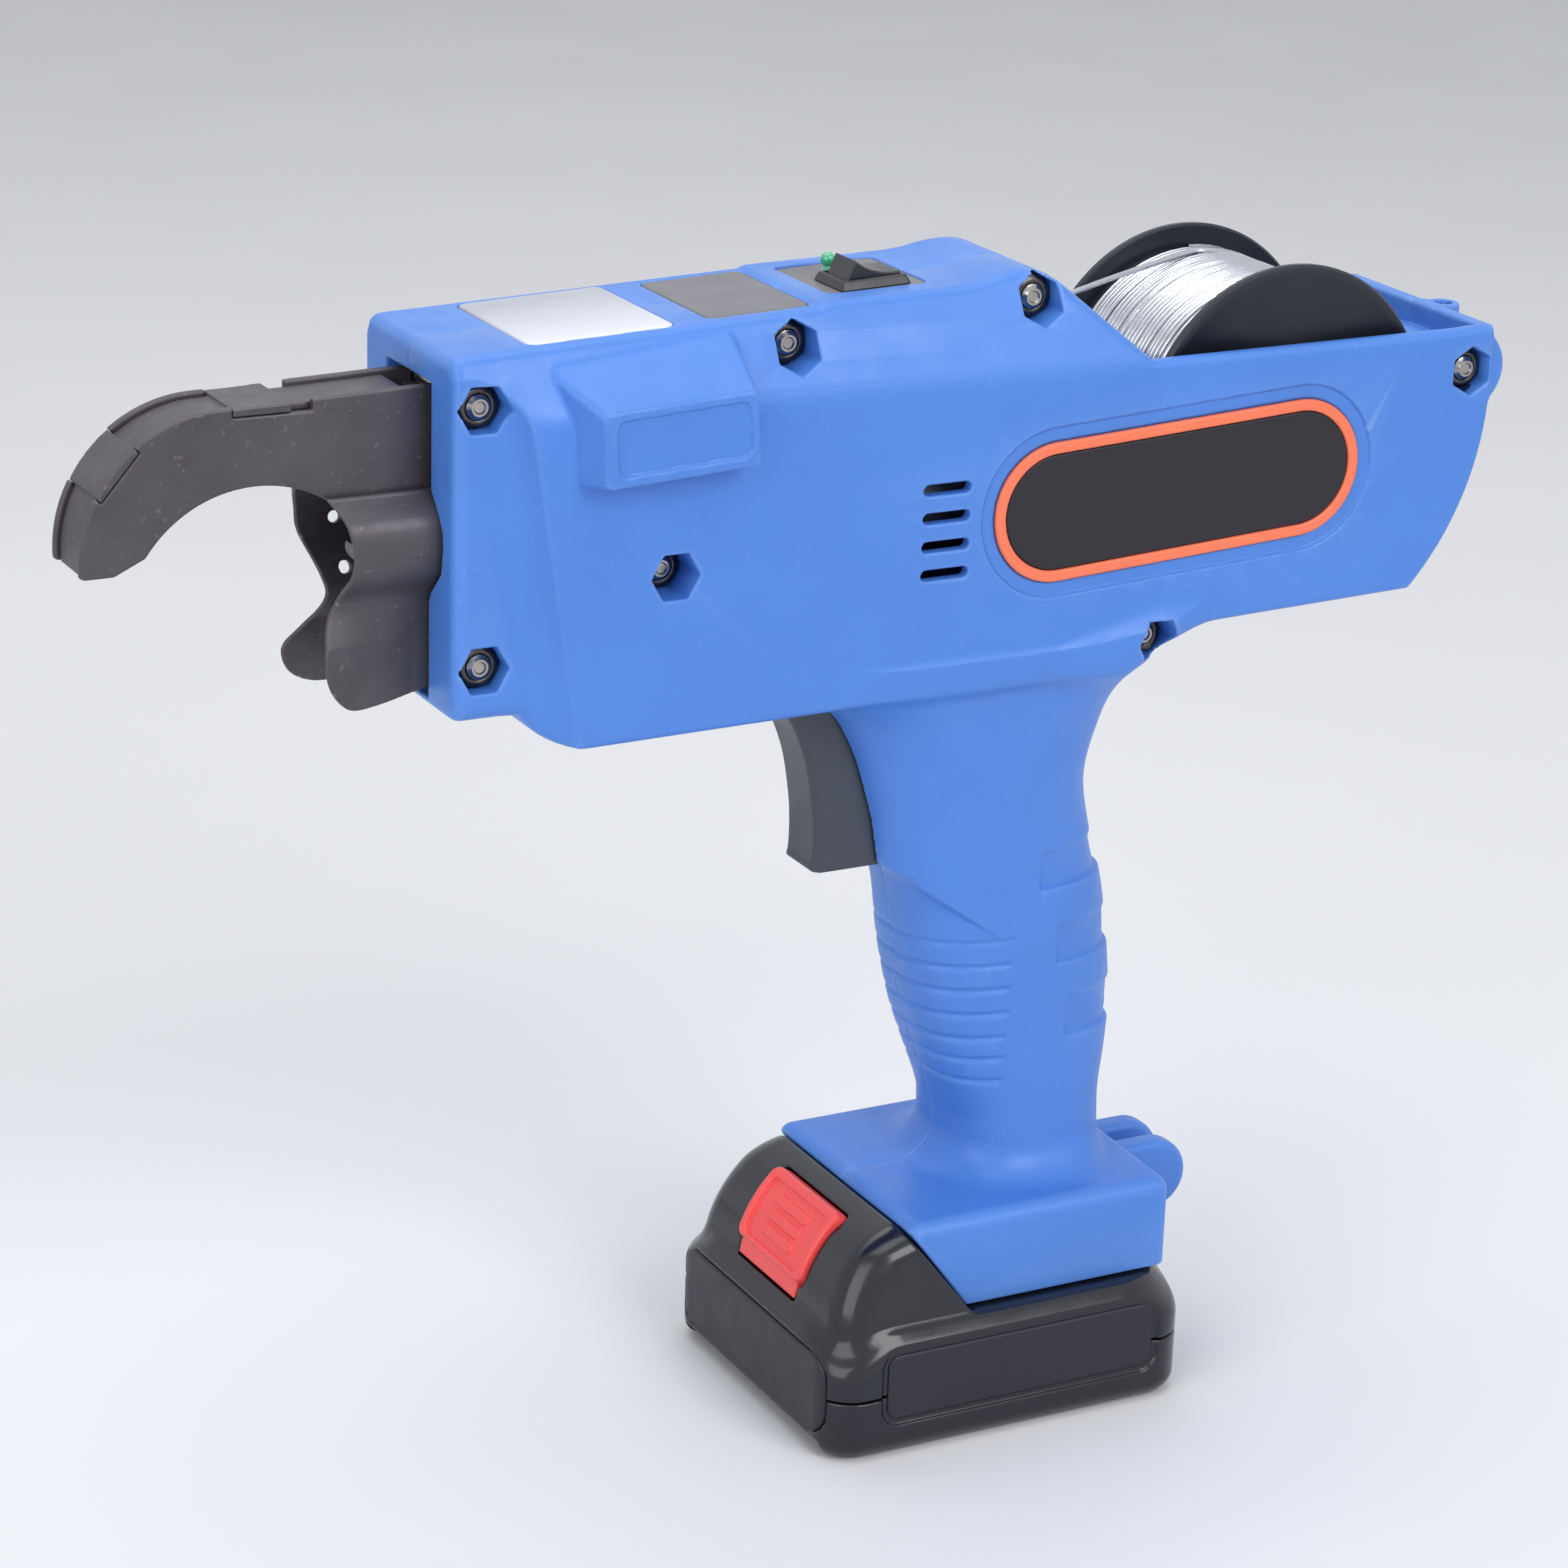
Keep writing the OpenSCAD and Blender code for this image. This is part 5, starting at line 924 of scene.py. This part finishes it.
def finish_of(name, color, rough, metallic=0.0, mottle=0.06, mottle_scale=45, grain=6e-6, grain_scale=1400,
              edge_wear_and_highlight=None, specks=None, coat=0.0, stretch=(1, 1, 1), shine=0.5, painted_shading=None):
    """A procedural finish: mottled colour, edges lightened for wear and, on some finishes, for a painted
    highlight, specks, uneven gloss, a painted shading ramp and a fine grain.

    Colours are linear. Edge wear and highlight: an edge's range, share and colour; specks: a scale, two
    levels and a colour;
    painted shading along an axis: the axis, two places along it and a colour, blended in as painted shade.
    """
    material, tree, main = shader(name)
    dark = tuple(c * (1 - mottle) for c in color)
    light = tuple(min(1.0, c * (1 + mottle)) for c in color)
    shade = blend_colors(tree, noise(tree, mottle_scale, 4, 0, 1, stretch), dark, light)
    if specks:
        shade = blend_colors(tree, noise(tree, specks[0], 2, -specks[1], specks[2]), shade, specks[3])
    # Lighter colour on sharp edges, by pointiness: edge wear, and on some finishes a painted highlight
    if edge_wear_and_highlight:
        edge = tree.nodes.new("ShaderNodeNewGeometry").outputs["Pointiness"]
        shade = blend_colors(tree, remap(tree, edge, edge_wear_and_highlight[0], edge_wear_and_highlight[1], 0, edge_wear_and_highlight[2]), shade, edge_wear_and_highlight[3])
    # Painted shading: the colour blends towards another along one axis of the part
    if painted_shading:
        coords = tree.nodes.new("ShaderNodeTexCoord")
        split = tree.nodes.new("ShaderNodeSeparateXYZ")
        tree.links.new(coords.outputs["Object"], split.inputs["Vector"])
        along = remap(tree, split.outputs[painted_shading[0]], painted_shading[1], painted_shading[2], 0, 1)
        shade = blend_colors(tree, along, shade, painted_shading[3])
    tree.links.new(shade, main.inputs["Base Color"])
    main.inputs["Specular IOR Level"].default_value = shine
    gloss = noise(tree, mottle_scale * 3, 3, rough - 0.05, rough + 0.07, stretch)
    tree.links.new(gloss, main.inputs["Roughness"])
    main.inputs["Metallic"].default_value = metallic
    main.inputs["Coat Weight"].default_value = coat
    bump = tree.nodes.new("ShaderNodeBump")
    bump.inputs["Distance"].default_value = grain
    bump.inputs["Strength"].default_value = 1.0
    tree.links.new(noise(tree, grain_scale, 3, 0, 1, stretch), bump.inputs["Height"])
    tree.links.new(bump.outputs["Normal"], main.inputs["Normal"])
    return material


def srgb(*channels):
    """Linear colour of an 8-bit display colour."""
    shares = [c / 255 for c in channels]
    return tuple(c / 12.92 if c <= 0.04045 else ((c + 0.055) / 1.055) ** 2.4 for c in shares)


# Blue housing: its lighter sharp edges are partly edge wear and partly a painted highlight; its pale specks
# are dust
BLUE = finish_of("blue_plastic", srgb(74, 130, 216), 0.4, mottle=0.04, grain=1.4e-5, grain_scale=1700,
                 edge_wear_and_highlight=(0.51, 0.58, 0.42, srgb(150, 184, 240)), specks=(900, 2.6, 0.12, srgb(150, 180, 236)))
BADGE = finish_of("badge_black", srgb(40, 38, 44), 0.42, mottle=0.08, shine=0.3)
ORANGE = finish_of("badge_orange", srgb(247, 122, 86), 0.4, mottle=0.05)
# Frosted window pane with painted shading across it: lighter towards -y, darker towards +y, standing in for
# the dark inside seen through it
WINDOW = finish_of("window_frost_painted_shade", srgb(164, 168, 182), 0.22, mottle_scale=60, grain=2e-6,
                   coat=0.3, painted_shading=("Y", 0.012, -0.017, srgb(226, 229, 240)))
PLATE = finish_of("plate_grey", srgb(112, 112, 118), 0.45, grain=5e-6)
BLACK = finish_of("black_plastic", srgb(34, 35, 40), 0.32, mottle=0.1)
LAMP = finish_of("lamp_green", srgb(64, 188, 138), 0.1, mottle=0.12, grain=1e-6, coat=0.8)
STEEL = finish_of("blackened_steel", srgb(80, 75, 81), 0.42, metallic=0.4, mottle=0.14, mottle_scale=90,
                  grain=1.0e-5, grain_scale=700, edge_wear_and_highlight=(0.53, 0.66, 0.5, srgb(150, 146, 150)),
                  specks=(700, 5, 0.2, srgb(150, 144, 138)))
ZINC = finish_of("zinc_steel", srgb(158, 154, 150), 0.2, metallic=1.0, mottle=0.14, mottle_scale=400)
NUT = finish_of("dark_nut", srgb(80, 76, 74), 0.24, metallic=0.95, mottle=0.2, mottle_scale=400)
# Reel: the lighter colour on its sharp rim edges is a painted highlight standing in for sheen
REEL = finish_of("reel_black", srgb(27, 30, 39), 0.36, mottle=0.1, grain=1.0e-5,
                 edge_wear_and_highlight=(0.53, 0.65, 0.3, srgb(110, 114, 126)), shine=0.35)
WIRE = finish_of("galvanized_wire", srgb(184, 187, 194), 0.2, metallic=0.95, mottle_scale=300, grain=4e-6)
TRIGGER = finish_of("trigger_grey", srgb(50, 57, 70), 0.36, grain=1.0e-5, shine=0.6)
GLOSS = finish_of("battery_gloss", srgb(22, 24, 33), 0.16, grain=3e-6, coat=0.05)
PANEL = finish_of("battery_panel", srgb(40, 40, 48), 0.4, grain=8e-6, shine=0.35)
RED = finish_of("button_red", srgb(255, 84, 84), 0.3, mottle=0.05)
MACHINED = finish_of("machined_steel", srgb(140, 143, 150), 0.35, metallic=0.85, mottle=0.12,
                     mottle_scale=200, grain=8e-6, stretch=(1, 12, 1))
BRASS = finish_of("brass", srgb(196, 164, 84), 0.3, metallic=0.9, mottle=0.1, mottle_scale=150, grain=5e-6)
BOARD = finish_of("board_green", srgb(46, 106, 70), 0.4, mottle=0.15, mottle_scale=220, grain=8e-6)
CELL = finish_of("cell_wrap", srgb(80, 144, 106), 0.35, mottle=0.05, grain=3e-6)
NYLON = finish_of("nylon", srgb(216, 212, 202), 0.4)


def dress(piece, body, material, slot, *nodes):
    """Sets a piece's material and the body it rides on, and hides the solids it stands for; its slot is not
    used.
    """
    piece.data.materials.clear()
    piece.data.materials.append(material)
    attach(piece, body)
    if nodes:
        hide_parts(*nodes)


INNER = {
    MACHINED: ["arm_spacer", "bearing_plate", "gearbox_case", "twist_motor", "planet_gear_1", "planet_gear_2",
               "planet_gear_3", "planet_carrier", "feed_bracket", "feed_motor", "feed_roller", "pinch_lever",
               "pinch_roller", "wire_tube", "spool_axle"],
    STEEL: ["twist_hook"],
    ZINC: ["strap_pin", "lever_pin"],
    BRASS: ["sun_gear", "feed_pinion", "battery_contacts"],
    NYLON: ["feed_gear"],
    BOARD: ["display_board", "control_board"],
    BLACK: ["trigger_switch", "terminal_block"],
    CELL: ["battery_cells"],
    WIRE: ["wire_core"],
}


def dress_solids():
    """Finishes of the solids that show as they are."""
    for material, nodes in INNER.items():
        for name in nodes:
            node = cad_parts[name]
            node.data.materials.clear()
            node.data.materials.append(material)


# Camera, light and floor
def look_from():
    """Camera of the photograph: its azimuth, elevation, roll, place and lens."""
    az, el, roll = (math.radians(a) for a in (28.168, 19.435, 1.806))
    back = Vector((-math.sin(az) * math.cos(el), -math.cos(az) * math.cos(el), math.sin(el)))
    flat = Vector((math.cos(az), -math.sin(az), 0))
    up = back.cross(flat)
    right = flat * math.cos(roll) + up * math.sin(roll)
    up = up * math.cos(roll) - flat * math.sin(roll)
    data = bpy.data.cameras.new("camera")
    data.lens, data.sensor_width = 102.28, 36
    data.clip_end = 50
    camera = add_object("camera", data)
    turn = Matrix((right, up, back)).transposed().to_4x4()
    camera.matrix_world = Matrix.Translation((-0.443, -0.750, 0.437)) @ turn
    bpy.context.scene.camera = camera


def lamp(name, place, target, size, power):
    data = bpy.data.lights.new(name, "AREA")
    data.size, data.energy = size, power
    light = add_object(name, data)
    aim = (Vector(target) - Vector(place)).to_track_quat("-Z", "Y")
    light.matrix_world = Matrix.Translation(place) @ aim.to_matrix().to_4x4()


def light_world(tree, plain, seen):
    """Lights with a plain level, and shows a brighter one to gloss, glass and the camera."""
    rays = tree.nodes.new("ShaderNodeLightPath")
    share = rays.outputs["Is Camera Ray"]
    for kind in ("Is Glossy Ray", "Is Transmission Ray"):
        most = tree.nodes.new("ShaderNodeMath")
        most.operation = "MAXIMUM"
        tree.links.new(share, most.inputs[0])
        tree.links.new(rays.outputs[kind], most.inputs[1])
        share = most.outputs["Value"]
    level = remap(tree, share, 0, 1, plain, seen)
    tree.links.new(level, tree.nodes["Background"].inputs["Strength"])


def make_stage():
    """A pale floor, an even world and three soft lamps."""
    half = 9.0
    corners = np.array([(-half, -half, 0), (half, -half, 0), (half, half, 0), (-half, half, 0)])
    floor = add_object("floor", mesh_of("floor", corners, np.array([[0, 1, 2, 3]])))
    floor.location.z = -0.0003
    pale = finish_of("floor_pale", srgb(236, 237, 240), 0.6, mottle=0.01, mottle_scale=3, grain=1e-6)
    floor.data.materials.append(pale)
    world = bpy.data.worlds.new("studio")
    world.use_nodes = True
    world.node_tree.nodes["Background"].inputs["Color"].default_value = (0.94, 0.96, 1.0, 1)
    light_world(world.node_tree, 0.38, 1.0)
    bpy.context.scene.world = world
    lamp("key", (0.35, -1.35, 1.15), (0, 0, 0.15), 0.9, 12.5)
    lamp("fill", (-1.3, -0.7, 0.8), (0, 0, 0.15), 1.0, 7)
    lamp("top", (-0.1, 0.2, 1.5), (0, 0, 0.2), 1.4, 11)
    bpy.context.scene.view_settings.view_transform = "Standard"


look_from()
make_stage()
make_housings()
make_badges()
plate("window_pane", WINDOW_SEAT, 0.15, 0.5, WINDOW, "window_grey", "display_window")
plate("top_label", LABEL_SEAT, 0, 0.25, PLATE, "plate_grey", "label_plate")
make_switch()
make_lamp()
make_arm()
make_guides()
make_fasteners()
make_spool()
make_winding()
make_free_end()
make_trigger()
make_battery()
make_button()
dress_solids()
